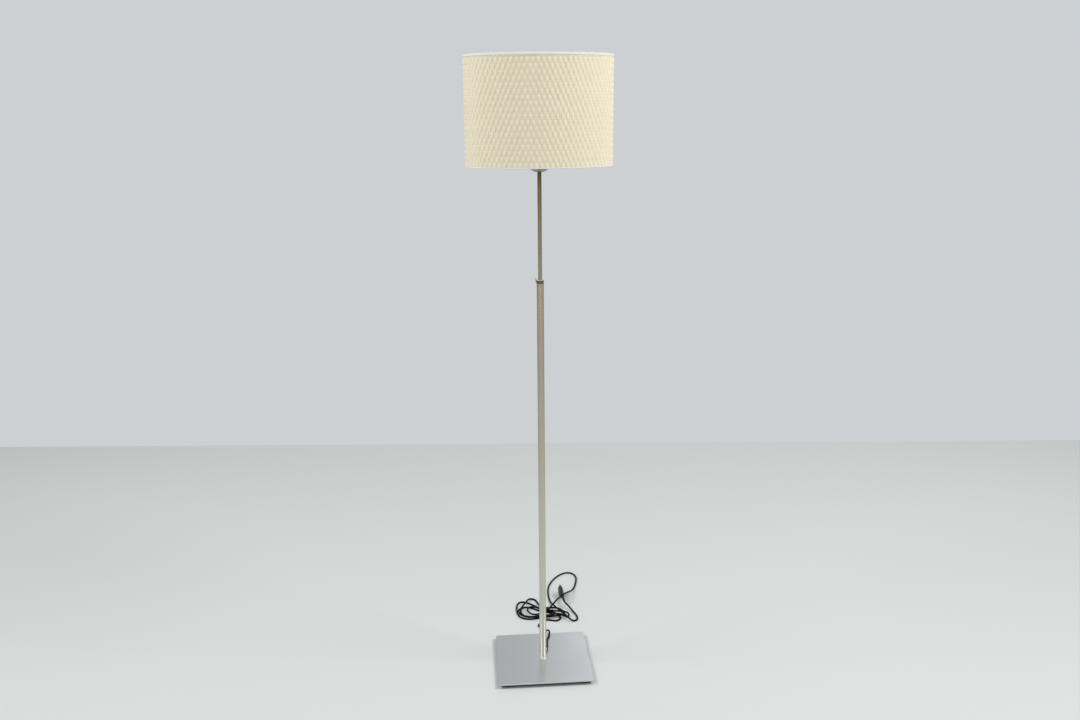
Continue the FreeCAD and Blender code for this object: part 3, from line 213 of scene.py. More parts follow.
def twine_weave(name, look):
    """Paper twine woven flat: pale strips over slightly browner bands, each with its yarns. Painted shade
    darkens the hollows and the yarns' grooves, and a painted lit edge over a painted shadow line marks where
    one row of the weave meets the next."""
    material, tree, shader = start_finish(name, look.strip_colour, 0.8, IOR=1.45, Sheen_Weight=0.1,
                                          Sheen_Roughness=0.5)
    place = add(tree, "UVMap", uv_map="cloth").outputs["UV"]
    relief, strips, tone = (add(tree, "Attribute", attribute_name=part).outputs["Fac"]
                            for part in ("relief", "strip", "tone"))
    yarns = add(tree, "Mix", {0: strips, 2: yarn_lines(tree, place, look.yarn, "Y"),
                              3: yarn_lines(tree, place, look.yarn, "X")}).outputs[0]
    fibre = noise_on(tree, place, 2.2, 4.0, Roughness=0.6)
    height = calculate(tree, "MULTIPLY_ADD", fibre, 0.5, yarns)
    crown = mix_colours(tree, strips, (*look.band_colour, 1), (*look.strip_colour, 1))
    # Where the relief is low the colour goes over to the hollows' darker one: painted shade.
    body = mix_colours(tree, remap(tree, relief, 0.0, 0.55), (*look.hollow_shade_colour, 1), crown)
    level = add(tree, "SeparateXYZ", {"Vector": place}).outputs["Y"]
    in_row = calculate(tree, "FRACT", calculate(tree, "DIVIDE", level, look.row / MM))
    lit_edge = remap(tree, in_row, 0.0, 0.1, look.edge_light, 0.0)
    shadow = remap(tree, in_row, 0.88, 0.97, 0.0, look.edge_shadow)
    # Each cell's own tone varies at random, and the yarns' low grooves are darkened: painted shade.
    tone_and_yarn_shade = calculate(tree, "MULTIPLY", tone, remap(tree, height, 0.1, 1.1, 0.93, 1.03))
    light = calculate(tree, "ADD", tone_and_yarn_shade, calculate(tree, "SUBTRACT", lit_edge, shadow))
    light_and_bump(tree, shader, body, light, height, 0.7, 0.14)
    return material


def binding_tape(name, colour):
    """White cotton tape over the shade's rims: fine ribs across its width."""
    material, tree, shader = start_finish(name, colour, 0.7, IOR=1.45, Sheen_Weight=0.2)
    place = add(tree, "UVMap", uv_map="band").outputs["UV"]
    ribs = add(tree, "TexWave", {"Vector": place, "Scale": 1.2, "Distortion": 0.6, "Detail": 2.0},
               bands_direction="X").outputs["Fac"]
    height = calculate(tree, "ADD", ribs, noise_on(tree, place, 1.6, 3.0))
    # The ribs' low parts keep less light: painted shade.
    light_and_bump(tree, shader, colour, remap(tree, height, 0.4, 1.4, 0.9, 1.0), height, 0.5, 0.08)
    return material


# ---- settings that a user would change ---------------------------------------------------------

def colour_setting(name, code, description):
    """A colour in a property group."""
    return FloatVectorProperty(name=name, description=description, subtype="COLOR", size=3, min=0, max=1,
                               default=paint(code))


def length_setting(name, size, description):
    """A length in a property group, given in millimetres."""
    return FloatProperty(name=name, description=description, default=size * MM, unit="LENGTH",
                         subtype="DISTANCE")


def power_setting(name, watts, description):
    """A lamp's power in a property group."""
    return FloatProperty(name=name, description=description, default=watts, unit="POWER")


class ShadeLook(bpy.types.PropertyGroup):
    """The woven drum shade."""
    strips: IntProperty(name="Strips", description="Upright strips round the oval, an even number",
                        default=154, min=8)
    row: length_setting("Row", 13.8, "Height of one row of the weave")
    rise: length_setting("Rise", 1.15, "How far a strip bows out where it lies over a band")
    yarn: length_setting("Yarn", 1.2, "Spacing of the yarns within a strip")
    edge_light: FloatProperty(name="Lit edge", description="Light gained along the foot of a row",
                              default=0.06, min=0, max=1)
    edge_shadow: FloatProperty(name="Shadow line", description="Light lost along the top of a row",
                               default=0.13, min=0, max=1)
    strip_colour: colour_setting("Strips", "F3E9CF", "Crowns of the upright strips")
    band_colour: colour_setting("Bands", "EFE5C9", "Level bands between them")
    # Painted shade: the hollows' darker colour stands in for the shade that falls between strips and bands.
    hollow_shade_colour: colour_setting("Hollows", "ECE1C3", "Gaps where strips and bands cross")
    tape_colour: colour_setting("Binding tape", "EFEFEA", "Tape over both rims")
    liner_colour: colour_setting("Liner", "F0ECDF", "Stiff sheet inside the weave")
    wire_colour: colour_setting("Frame", "ECEBE6", "Coated wires and hub of the frame")


class StandLook(bpy.types.PropertyGroup):
    """The base and the pole."""
    cover_colour: colour_setting("Cover", "D0D1D1", "Satin nickel plate on the base")
    # Painted shade and painted reflection: the tube's top colour darkens and browns the plain plate towards
    # the collar.
    tube_top_shade_colour: colour_setting("Lower tube, top", "AC9D88", "Satin nickel plate under the collar")
    tube_foot_colour: colour_setting("Lower tube, foot", "D0CEC1", "The same plate at the base")
    # Painted shade and painted reflection: the rod's top colour stands in for the shade's shadow and its
    # underside reflected in the rod.
    rod_top_shade_colour: colour_setting("Upper tube, top", "6B573C", "Darker plate under the shade")
    rod_foot_colour: colour_setting("Upper tube, foot", "A79D88", "The same plate at the collar")
    collar_colour: colour_setting("Collar", "7C6D54", "Bronzed lock collar")
    # Painted highlight: the collar end's pale colour stands in for the light caught on its top edge.
    collar_end_highlight_colour: colour_setting("Collar end", "CFC9BA", "Turned end of the collar")
    ring_colour: colour_setting("Foot ring", "EAE8E0", "Bright ferrule at the pole's foot")
    screw_colour: colour_setting("Thumb screw", "B4B3B0", "Plain nickel of the thumb screw")
    weight_colour: colour_setting("Weight", "060606", "Painted cast iron plate")
    brush: length_setting("Brushing", 0.5, "Width of a brushed line, drawn coarse enough to show")


class HolderLook(bpy.types.PropertyGroup):
    """The lampholder."""
    plastic_colour: colour_setting("Plastic", "ECEAE3", "Cap, shell and ring nut")
    dish_colour: colour_setting("Dish", "A6A4A0", "Painted dish under the lampholder")
    brass_colour: colour_setting("Brass", "D9B765", "Contacts")


class FlexLook(bpy.types.PropertyGroup):
    """The mains flex and its plug."""
    diameter: length_setting("Diameter", 5, "Outside of the flex")
    flex_colour: colour_setting("Flex", "050506", "Vinyl skin of the flex")
    plug_colour: colour_setting("Plug", "0E1015", "Moulded plug")
    gland_colour: colour_setting("Outlet", "C9BFA6", "Outlet of the flex in the pole")


class StageLook(bpy.types.PropertyGroup):
    """Floor, lights and camera."""
    focal: FloatProperty(name="Focal length", description="Of the camera, on a 36 mm frame", default=32.833,
                         min=1)
    floor_colour: colour_setting("Floor", "DDE1E0", "Matt floor")
    back_colour: colour_setting("Background", "CCD0D3", "What lies past the floor")
    sky: FloatProperty(name="Sky", description="Strength of the even light from all round", default=0.37,
                       min=0)
    key_power: power_setting("Key light", 75, "Soft lamp above, on the right")
    fill_power: power_setting("Fill light", 56, "Soft lamp above, on the left")
    front_power: power_setting("Front light", 44, "Wide soft lamp behind the camera")
    back_power: power_setting("Back light", 20, "Soft panel that the base reflects")


class LampLook(bpy.types.PropertyGroup):
    """All settings of the floor lamp."""
    shade: PointerProperty(type=ShadeLook, name="Shade", description="Woven shade")
    stand: PointerProperty(type=StandLook, name="Stand", description="Base and pole")
    holder: PointerProperty(type=HolderLook, name="Lampholder", description="Lampholder")
    flex: PointerProperty(type=FlexLook, name="Flex", description="Mains flex and plug")
    stage: PointerProperty(type=StageLook, name="Stage", description="Floor, lights and camera")


# ---- mesh tools --------------------------------------------------------------------------------

def new_object(name, data):
    """A new object in the scene."""
    made = bpy.data.objects.new(name, data)
    bpy.context.scene.collection.objects.link(made)
    return made


def heights_of(node):
    """The heights of a node's foot and top, in millimetres."""
    return tuple(corner.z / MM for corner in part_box(node))


def shift_by(x, y, z):
    """A shift by so many millimetres."""
    return Matrix.Translation(Vector((x, y, z)) * MM)


def turn_by(degrees, axis):
    """A turn about an axis through the origin."""
    return Matrix.Rotation(math.radians(degrees), 4, axis)


def finish_piece(bm, name, body, finishes, node, sharp=35, weighted=False):
    """Turns a bmesh into a smooth piece that rides on its body and stands for one node."""
    bmesh.ops.recalc_face_normals(bm, faces=bm.faces)
    mesh = bpy.data.meshes.new(name)
    bm.to_mesh(mesh)
    bm.free()
    for finish in finishes:
        mesh.materials.append(finish)
    mesh.shade_smooth()
    mesh.set_sharp_from_angle(angle=math.radians(sharp))
    piece = new_object(name, mesh)
    if weighted:
        piece.modifiers.new("even_faces", "WEIGHTED_NORMAL").keep_sharp = True
    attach(piece, body)
    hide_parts(node)
    return piece


def added_since(bm, known):
    """The vertices that a bmesh has and that aren't among the known ones."""
    return [v for v in bm.verts if v not in known]


def verts_in(geometry):
    """The vertices among what an operation made."""
    return [part for part in geometry if isinstance(part, bmesh.types.BMVert)]


def soften(bm, edges, size, segments=3):
    """Rounds edges by a size in millimetres."""
    bmesh.ops.bevel(bm, geom=list(edges), offset=size * MM, offset_type="OFFSET", segments=segments,
                    profile=0.5, affect="EDGES", material=-1, clamp_overlap=True)


def turn(bm, profile, segments=96):
    """Spins a profile of (radius, height, rounding) about +Z. One that starts and ends on the axis is
    left open there, and any other is closed. Corners are rounded where a rounding is given."""
    known = set(bm.verts)
    line = [bm.verts.new((radius * MM, 0, height * MM)) for radius, height, _ in profile]
    open_ended = profile[0][0] == 0 and profile[-1][0] == 0
    pairs = list(zip(line, line[1:])) + ([] if open_ended else [(line[-1], line[0])])
    edges = [bm.edges.new(pair) for pair in pairs]
    bmesh.ops.spin(bm, geom=line + edges, cent=(0, 0, 0), axis=(0, 0, 1), angle=2 * math.pi,
                   steps=segments, use_merge=True)
    on_axis = [v for v in added_since(bm, known) if v.co.xy.length < 1e-7]
    bmesh.ops.remove_doubles(bm, verts=on_axis, dist=1e-6)
    for radius, height, rounding in profile:
        if rounding:
            corner = Vector((radius * MM, height * MM))
            ring = [e for e in bm.edges if all(
                v not in known and (Vector((v.co.xy.length, v.co.z)) - corner).length < 1e-6
                for v in e.verts)]
            soften(bm, ring, rounding)
    return added_since(bm, known)


def thread(bm, root, crest, pitch, foot, top, segments=48):
    """A screw thread's ridge on a round stem, one helix from foot to top."""
    known = set(bm.verts)
    turns = (top - foot - pitch) / pitch
    steps = round(turns * segments)
    corners = [(root, 0.08), (crest, 0.42), (crest, 0.58), (root, 0.92)]
    line = [bm.verts.new((radius * MM, 0, (foot + share * pitch) * MM)) for radius, share in corners]
    edges = [bm.edges.new(pair) for pair in zip(line, line[1:] + line[:1])]
    bmesh.ops.spin(bm, geom=line + edges, cent=(0, 0, 0), axis=(0, 0, 1), angle=2 * math.pi * turns,
                   dvec=(0, 0, turns * pitch * MM / steps), steps=steps)
    ends = [e for e in bm.edges if e.is_boundary and not any(v in known for v in e.verts)]
    bmesh.ops.edgeloop_fill(bm, edges=ends)


def move(bm, verts, matrix):
    """Moves some vertices of a bmesh."""
    bmesh.ops.transform(bm, matrix=matrix, verts=verts)


def block(bm, low, high):
    """A box between two corners in millimetres."""
    low, high = Vector(low) * MM, Vector(high) * MM
    matrix = Matrix.Translation((low + high) / 2) @ Matrix.Diagonal((*(high - low), 1))
    return bmesh.ops.create_cube(bm, size=1, matrix=matrix)["verts"]


def edges_of(verts, test=lambda edge: True):
    """The edges between some vertices that pass a test."""
    inside = set(verts)
    found = {e for v in verts for e in v.link_edges if e.other_vert(v) in inside}
    return [e for e in found if test(e)]


def is_upright(edge):
    """Whether an edge runs up and down."""
    return abs(edge.verts[0].co.z - edge.verts[1].co.z) > 0.9 * edge.calc_length()


def is_level_at(edge, height):
    """Whether both ends of an edge lie at a height in millimetres."""
    return all(abs(v.co.z - height * MM) < 1e-6 for v in edge.verts)


def rib(bm, low, high, rounding):
    """A rounded box between two corners, and its vertices."""
    known = set(bm.verts)
    soften(bm, edges_of(block(bm, low, high)), rounding, 2)
    return added_since(bm, known)


def ribs_round(bm, count, low, high, rounding, start=0.0):
    """Ribs round a turned piece, the first at a share of their spacing."""
    for i in range(count):
        move(bm, rib(bm, low, high, rounding), turn_by(360 * (i + start) / count, "Z"))


def thicken(piece, sheet, offset):
    """Makes a surface into sheet, on both of its sides or, with an offset of -1, behind it."""
    wall = piece.modifiers.new("sheet", "SOLIDIFY")
    wall.thickness = sheet * MM
    wall.offset = offset


def dress(nodes, finish):
    """Gives a finish to CAD nodes that stay as they are."""
    for name in nodes:
        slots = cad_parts[name].material_slots
        if not slots:
            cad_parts[name].data.materials.append(finish)
        for place in slots:
            place.material = finish


# ---- oval plan of the shade --------------------------------------------------------------------

class Oval:
    """The shade's plan: four arcs, the same for every depth inside the outermost face.

    A place on it is a length along the cloth's face, from the middle of the back."""
    END_RADIUS = 92.0
    CLOTH_DEPTH = 0.6

    def __init__(self):
        low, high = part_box("shade_trim_bottom")
        long, short = high.x / MM, high.y / MM
        radius = self.END_RADIUS
        side_radius = (long ** 2 + short ** 2 - 2 * long * radius) / (2 * (short - radius))
        end_x, side_y = long - radius, side_radius - short
        tilt = math.atan2(side_y, end_x)
        quarter, half = math.pi / 2, math.pi
        arcs = [(0, -side_y, side_radius, quarter, quarter - tilt),
                (-end_x, 0, radius, half - tilt, 2 * tilt),
                (0, side_y, side_radius, half + tilt, half - 2 * tilt),
                (end_x, 0, radius, -tilt, 2 * tilt),
                (0, -side_y, side_radius, tilt, quarter - tilt)]
        self.arcs = []
        self.length = 0.0
        for x, y, reach, first, swing in arcs:
            self.arcs.append((self.length, Vector((x, y, 0)), reach, first))
            self.length += (reach - self.CLOTH_DEPTH) * swing

    def place(self, along, depth, height):
        """The point that is so far along, inside the outermost face, and high. In metres."""
        along = min(max(along, 0.0), self.length)
        start, centre, reach, first = [arc for arc in self.arcs if arc[0] <= along][-1]
        bearing = first + (along - start) / (reach - self.CLOTH_DEPTH)
        out = Vector((math.cos(bearing), math.sin(bearing), 0))
        return (centre + out * (reach - depth) + Vector((0, 0, height))) * MM


def grid_on(bm, across, up, uv_name):
    """A grid of that many faces each way, its vertices as {vertex: (column, row)}."""
    bm.loops.layers.uv.new(uv_name)
    bmesh.ops.create_grid(bm, x_segments=across, y_segments=up, size=1)
    return {v: (round((v.co.x + 1) / 2 * across), round((v.co.y + 1) / 2 * up)) for v in bm.verts}


def close_round(bm, uv_name, spots):
    """Writes the spots, in millimetres, as a UV map, and joins the grid's two ends."""
    layer = bm.loops.layers.uv[uv_name]
    for face in bm.faces:
        for loop in face.loops:
            loop[layer].uv = spots[loop.vert]
    bmesh.ops.remove_doubles(bm, verts=bm.verts, dist=1e-6)


def oval_band(bm, oval, profile, columns=288):
    """Sweeps a profile of (depth, height) round the oval. A profile that ends where it starts closes."""
    cells = grid_on(bm, columns, len(profile) - 1, "band")
    run = [0.0]
    for before, after in zip(profile, profile[1:]):
        run.append(run[-1] + math.dist(before, after))
    spots = {}
    for vert, (column, row) in cells.items():
        along = oval.length * column / columns
        spots[vert] = (along, run[row])
        vert.co = oval.place(along, *profile[row])
    close_round(bm, "band", spots)


# ---- pieces ------------------------------------------------------------------------------------

class FLOORLAMP_OT_shade(bpy.types.Operator):
    """Weave the shade's cover, and bind and line its drum"""
    bl_idname = "floorlamp.shade"
    bl_label = "Woven shade"

    def execute(self, context):
        look = context.scene.floor_lamp.shade
        oval = Oval()
        self.weave(oval, look)
        self.lining_and_tape(oval, look)
        return {"FINISHED"}

    def weave(self, oval, look):
        """Plain weave: each strip bows out over every second band and sinks under the others."""
        low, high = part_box("shade_cover")
        margin, depth = 0.3, 0.45
        foot, height = low.z / MM + margin, (high.z - low.z) / MM - 2 * margin
        cross, up = 5, 6
        rows = height / (look.row / MM)
        columns = look.strips * cross
        levels = round(rows * up)
        rise = look.rise / MM
        # Shares of the rise: how a strip curls down at its edges, and a band lies low and sags.
        curl, sunk, sag = 0.5, 0.5, 0.3
        bm = bmesh.new()
        for name in ("relief", "strip", "tone"):
            bm.verts.layers.float.new(name)
        relief_layer, strip_layer, tone_layer = bm.verts.layers.float.values()
        cells = grid_on(bm, columns, levels, "cloth")
        spots = {}
        for vert, (column, level) in cells.items():
            column_at = column / cross
            row_at = level / levels * rows
            strip, band = int(column_at) % look.strips, int(row_at)
            across, along = 2 * (column_at % 1) - 1, 2 * (row_at % 1) - 1
            over = 1 if (strip + band) % 2 == 0 else -1
            upright = over * rise * math.cos(math.pi * along / 2) - curl * rise * across ** 2
            level_band = -sunk * rise - sag * rise * along ** 2
            raised = max(upright, level_band)
            u = oval.length * column / columns
            v = height * level / levels
            spots[vert] = (u, v)
            # The relief, 0 in the deepest hollows and 1 on the crowns, is the mask by which the material
            # paints shade into the hollows.
            vert[relief_layer] = (raised + (sunk + sag) * rise) / ((1 + sunk + sag) * rise)
            vert[strip_layer] = float(upright >= level_band)
            vert[tone_layer] = 1 + 0.02 * noise.cell(Vector((strip, band, 0)))
            vert.co = oval.place(u, oval.CLOTH_DEPTH + depth - raised, foot + v)
        close_round(bm, "cloth", spots)
        finish_piece(bm, "woven_drum_cover", "head", [twine_weave("woven_paper_twine", look)],
                     "shade_cover", sharp=180)

    def lining_and_tape(self, oval, look):
        """A stiff liner behind the weave, and tape folded over both rims and their wires."""
        tape = binding_tape("cotton_binding_tape", look.tape_colour)
        liner = moulded_plastic("matt_vinyl_sheet", look.liner_colour, rough=(0.5, 0.6), grain=0.8)
        foot, top = heights_of("shade_liner")
        face, back = 1.7, 2.2
        bm = bmesh.new()
        oval_band(bm, oval, [(face, foot), (face, top), (back, top), (back, foot), (face, foot)])
        finish_piece(bm, "stiff_drum_liner", "head", [liner], "shade_liner")

        half, fold = 3.0, 1.6
        arc = [(half - half * math.cos(math.pi * i / 10), fold - fold * math.sin(math.pi * i / 10))
               for i in range(1, 10)]
        rims = (("top", heights_of("shade_trim_top")[1], -1, 5.5, 6.6),
                ("bottom", heights_of("shade_trim_bottom")[0], 1, 2.8, 6.2))
        for place, edge, way, reach, inner in rims:
            outline = [(0.55, reach), (0.0, reach - 0.3), (0.0, fold), *arc, (2 * half, fold),
                       (2 * half, inner - 0.3), (5.6, inner), (2.25, inner - 0.6), (face, 3.0), (0.55, 3.0),
                       (0.55, reach)]
            bm = bmesh.new()
            oval_band(bm, oval, [(depth, edge + way * height) for depth, height in outline])
            finish_piece(bm, "binding_tape_" + place, "head", [tape], "shade_trim_" + place,
                         sharp=50)


class FLOORLAMP_OT_lampholder(bpy.types.Operator):
    """Turn the lampholder, its threads, dish and switch knob"""
    bl_idname = "floorlamp.lampholder"
    bl_label = "Lampholder"

    def execute(self, context):
        look = context.scene.floor_lamp.holder
        plastic = moulded_plastic("moulded_white_thermoset", look.plastic_colour)
        self.dish(look)
        self.cap_and_shell(plastic)
        self.contact(look)
        self.knob(look)
        dress(["holder_insert"], glazed_ceramic("glazed_steatite", paint("EFECE2")))
        dress(["centre_contact", "terminal_screws"],
              satin_nickel("pressed_brass", look.brass_colour, rough=(0.18, 0.25)))
        dress(["switch_unit"], moulded_plastic("black_phenolic", paint("1E1C1B")))
        dress(["shade_ring_nut"], plastic)
        return {"FINISHED"}

    def dish(self, look):
        """A shallow spun dish: a cap of sheet cut from a ball, with a hole for the pole."""
        low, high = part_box("holder_dish")
        foot, reach = low.z / MM, high.x / MM
        ball, sheet, hole, rim = 34.25, 1.2, 5.0, 0.9
        start, swing = math.asin(hole / ball), math.asin(reach / ball)
        bearings = [start + (swing - start) * i / 20 for i in range(21)]
        centre, hollow = foot + ball, ball - sheet
        outside = [(ball * math.sin(t), centre - ball * math.cos(t), 0) for t in bearings]
        inside = [(min(hollow * math.sin(t), reach - rim), centre - hollow * math.cos(t), 0)
                  for t in reversed(bearings)]
        bm = bmesh.new()
        turn(bm, outside + inside)
        finish_piece(bm, "spun_dish", "head",
                     [satin_nickel("grey_lacquered_steel", look.dish_colour, rough=(0.3, 0.42))],
                     "holder_dish")

    def cap_and_shell(self, plastic):
        """The cap with its neck and cone, and the shell with its flange and outside thread."""
        hole, neck, bore, side = 5.1, 7.5, 17.2, 19
        foot, top = heights_of("holder_cap")
        bm = bmesh.new()
        turn(bm, [(hole, foot, 0), (neck, foot, 0.4), (neck, foot + 5, 1.2), (side, foot + 14, 2.0),
                  (side, top - 1.2, 0.3), (18.5, top - 0.9, 0), (18.5, top, 0.2), (bore, top, 0),
                  (bore, foot + 15, 1.0), (neck, foot + 12.4, 0), (hole, foot + 12.4, 0)])
        ribs_round(bm, 24, (18.6, -0.8, foot + 17), (19.5, 0.8, top - 3.2), 0.35, 0.5)
        finish_piece(bm, "lampholder_cap", "head", [plastic], "holder_cap")

        foot, top = heights_of("holder_shell")
        flange, root, mouth, contact, thread_top = 24, 18.7, 14.2, 13.7, top - 16.5
        bm = bmesh.new()
        turn(bm, [(bore, foot, 0), (side, foot, 0.3), (side, foot + 2.5, 0.3), (flange, foot + 2.5, 0.5),
                  (flange, foot + 5.5, 0.5), (root, foot + 5.5, 0.3), (root, thread_top, 0.4),
                  (18.6, thread_top + 0.8, 0), (18.6, top, 0.8), (mouth, top, 0.6), (mouth, top - 6, 0),
                  (contact, top - 6, 0), (contact, foot + 11, 0), (bore, foot + 9.5, 0)])
        thread(bm, 18.5, 19.7, 2.5, foot + 6.2, thread_top + 0.4)
        finish_piece(bm, "lampholder_shell", "head", [plastic], "holder_shell")

    def contact(self, look):
        """The lamp's screw contact: thin brass, rolled into a round thread."""
        foot, top = heights_of("screw_contact")
        radius, pitch, ripple, sheet, floor_hole = 13.33, 3.63, 0.22, 0.25, 6.5
        floor = foot + 1.5
        steps, per_pitch = 64, 8
        count = round((top - foot) / pitch) + 3
        bm = bmesh.new()
        line = [bm.verts.new(((radius + ripple * math.cos(2 * math.pi * i / per_pitch)) * MM, 0,
                              (foot - 2 * pitch + i * pitch / per_pitch) * MM))
                for i in range(count * per_pitch + 1)]
        edges = [bm.edges.new(pair) for pair in zip(line, line[1:])]
        bmesh.ops.spin(bm, geom=line + edges, cent=(0, 0, 0), axis=(0, 0, 1), angle=2 * math.pi,
                       dvec=(0, 0, pitch * MM / steps), steps=steps)
        bmesh.ops.remove_doubles(bm, verts=bm.verts, dist=1e-6)
        for height, way in ((floor, -1), (top, 1)):
            bmesh.ops.bisect_plane(bm, geom=bm.verts[:] + bm.edges[:] + bm.faces[:],
                                   plane_co=(0, 0, height * MM), plane_no=(0, 0, way), clear_outer=True)
        rim = [e for e in bm.edges if e.is_boundary and abs(e.verts[0].co.z - floor * MM) < 1e-5]
        for vert in verts_in(bmesh.ops.extrude_edge_only(bm, edges=rim)["geom"]):
            vert.co.xy = vert.co.xy.normalized() * floor_hole * MM
        piece = finish_piece(bm, "rolled_screw_contact", "head",
                             [satin_nickel("rolled_brass", look.brass_colour, rough=(0.16, 0.24))],
                             "screw_contact")
        thicken(piece, sheet, 0)

    def knob(self, look):
        """The switch's turn knob, with finger ribs."""
        middle = sum(heights_of("switch_knob")) / 2
        bm = bmesh.new()
        turn(bm, [(0, 11.2, 0), (2.5, 11.2, 0), (2.5, 19.8, 0), (6.2, 19.8, 0.4), (6.6, 22, 0.3),
                  (5.8, 30.8, 0.9), (0, 30.8, 0)], 64)
        ribs_round(bm, 18, (5.6, -0.45, 22.2), (6.75, 0.45, 29.8), 0.25)
        block(bm, (-4.4, -0.7, 30.4), (4.4, 0.7, 30.8))
        move(bm, bm.verts, shift_by(0, 0, middle) @ turn_by(-45, "Z") @ turn_by(90, "Y"))
        black = moulded_plastic("black_moulded_knob", paint("211F1E"))
        finish_piece(bm, "turn_switch_knob", "switch", [black], "switch_knob")


class FLOORLAMP_OT_frame(bpy.types.Operator):
    """Finish the shade's wires and hub"""
    bl_idname = "floorlamp.frame"
    bl_label = "Shade frame"

    def execute(self, context):
        look = context.scene.floor_lamp.shade
        dress(["shade_spider", "shade_top_wire"],
              moulded_plastic("white_dipped_wire", look.wire_colour, (0.3, 0.4), 1.5, 0.03))
        return {"FINISHED"}


class FLOORLAMP_OT_pole(bpy.types.Operator):
    """Draw the tubes and turn the lock collar and its thumb screw"""
    bl_idname = "floorlamp.pole"
    bl_label = "Pole"

    def execute(self, context):
        look = context.scene.floor_lamp.stand
        tube_top, rod_top = (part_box(node)[1].z for node in ("lower_tube", "upper_tube"))
        # Both tubes go darker and browner towards their tops, the upper one strongly under the shade: painted
        # shade and a painted reflection of the shade's underside over plain satin nickel.
        lower = brushed_tube("satin_nickel_tube_painted_shade", look.tube_foot_colour,
                             (look.tube_top_shade_colour, 0.25 * tube_top, tube_top), look.brush / MM)
        upper = brushed_tube("nickel_rod_painted_shade", look.rod_foot_colour,
                             (look.rod_top_shade_colour, tube_top, rod_top), look.brush / MM)
        self.tube("satin_lower_tube", "stand", "lower_tube", "tube_nickel", lower, (8, 9), 0.15)
        self.tube("satin_upper_tube", "head", "upper_tube", "rod_nickel", upper, (4, 5), 0.2)
        # The collar's second finish, a paler nickel on its top end, is a painted highlight.
        self.collar([satin_nickel("bronzed_steel", look.collar_colour, (0.3, 0.42)),
                     satin_nickel("painted_highlight_nickel", look.collar_end_highlight_colour, (0.3, 0.4), 0.3, 0.001)],
                    tube_top / MM)
        self.thumb_screw(satin_nickel("plain_nickel_screw", look.screw_colour))
        dress(["lock_pad", "glide_sleeve"], moulded_plastic("natural_nylon", paint("E9E6DA")))
        dress(["retaining_clips"], satin_nickel("spring_steel", paint("B8B8B8")))
        return {"FINISHED"}

    def tube(self, name, body, node, slot, finish, radii, rounding):
        """A plain tube between the ends of the node that it replaces."""
        foot, top = heights_of(node)
        inner, outer = radii
        bm = bmesh.new()
        turn(bm, [(inner, foot, 0), (outer, foot, 0.2), (outer, top, rounding), (inner, top, 0)])
        finish_piece(bm, name, body, [finish], node)

    def collar(self, finishes, tube_top):
        """The collar's stem in the tube and its bronzed band, and its top end in a paler finish that is a
        painted highlight.
        """
        foot, top = heights_of("lock_collar")
        bore, stem, side, highlight_from = 5.05, 7.95, 9, top - 0.95
        bm = bmesh.new()
        turn(bm, [(bore, foot, 0.2), (stem, foot, 0.2), (stem, tube_top, 0), (side, tube_top, 0.15),
                  (side, top - 1.6, 0.2), (8.75, top - 1.4, 0), (8.9, top - 1.2, 0.1), (8.9, top - 0.8, 0.2),
                  (8.2, top, 0.2), (bore, top, 0.25)])
        # The faces near the top take the paler second finish: a painted highlight.
        for face in bm.faces:
            face.material_index = int(face.calc_center_median().z > highlight_from * MM)
        finish_piece(bm, "lock_collar_turned", "stand", finishes, "lock_collar")

    def thumb_screw(self, plain):
        """A screw stem with a rounded thumb leaf that leans outwards."""
        middle, neck, leaf_thickness, leaf_top, lean = 1055.0, 9.4, 2.2, 11, 12
        bm = bmesh.new()
        turn(bm, [(0, 7.15, 0), (1.7, 7.15, 0.3), (1.7, neck, 0), (3.5, neck, 0.3), (3.5, 11.6, 0.5),
                  (0, 11.6, 0)], 48)
        thread(bm, 1.6, 1.95, 0.7, 7.2, neck, 32)
        move(bm, bm.verts, turn_by(-90, "Y"))
        known = set(bm.verts)
        corners = [(-3, 0), (3, 0), (4, leaf_top), (-4, leaf_top)]
        face = bm.faces.new([bm.verts.new((0, y * MM, z * MM)) for y, z in corners])
        for vert in verts_in(bmesh.ops.extrude_face_region(bm, geom=[face])["geom"]):
            vert.co.x = -leaf_thickness * MM
        tips = edges_of(added_since(bm, known), lambda e: all(v.co.z > (leaf_top - 0.1) * MM for v in e.verts)
                        and abs(e.verts[0].co.x - e.verts[1].co.x) > 1 * MM)
        soften(bm, tips, 3, 8)
        soften(bm, edges_of(added_since(bm, known), lambda e: e.calc_face_angle(0) > 0.8), 0.45, 3)
        move(bm, added_since(bm, known), shift_by(-neck, 0, 0) @ turn_by(-lean, "Y"))
        move(bm, bm.verts, shift_by(0, 0, middle))
        finish_piece(bm, "lock_thumb_screw", "lock", [plain], "lock_screw", weighted=True)


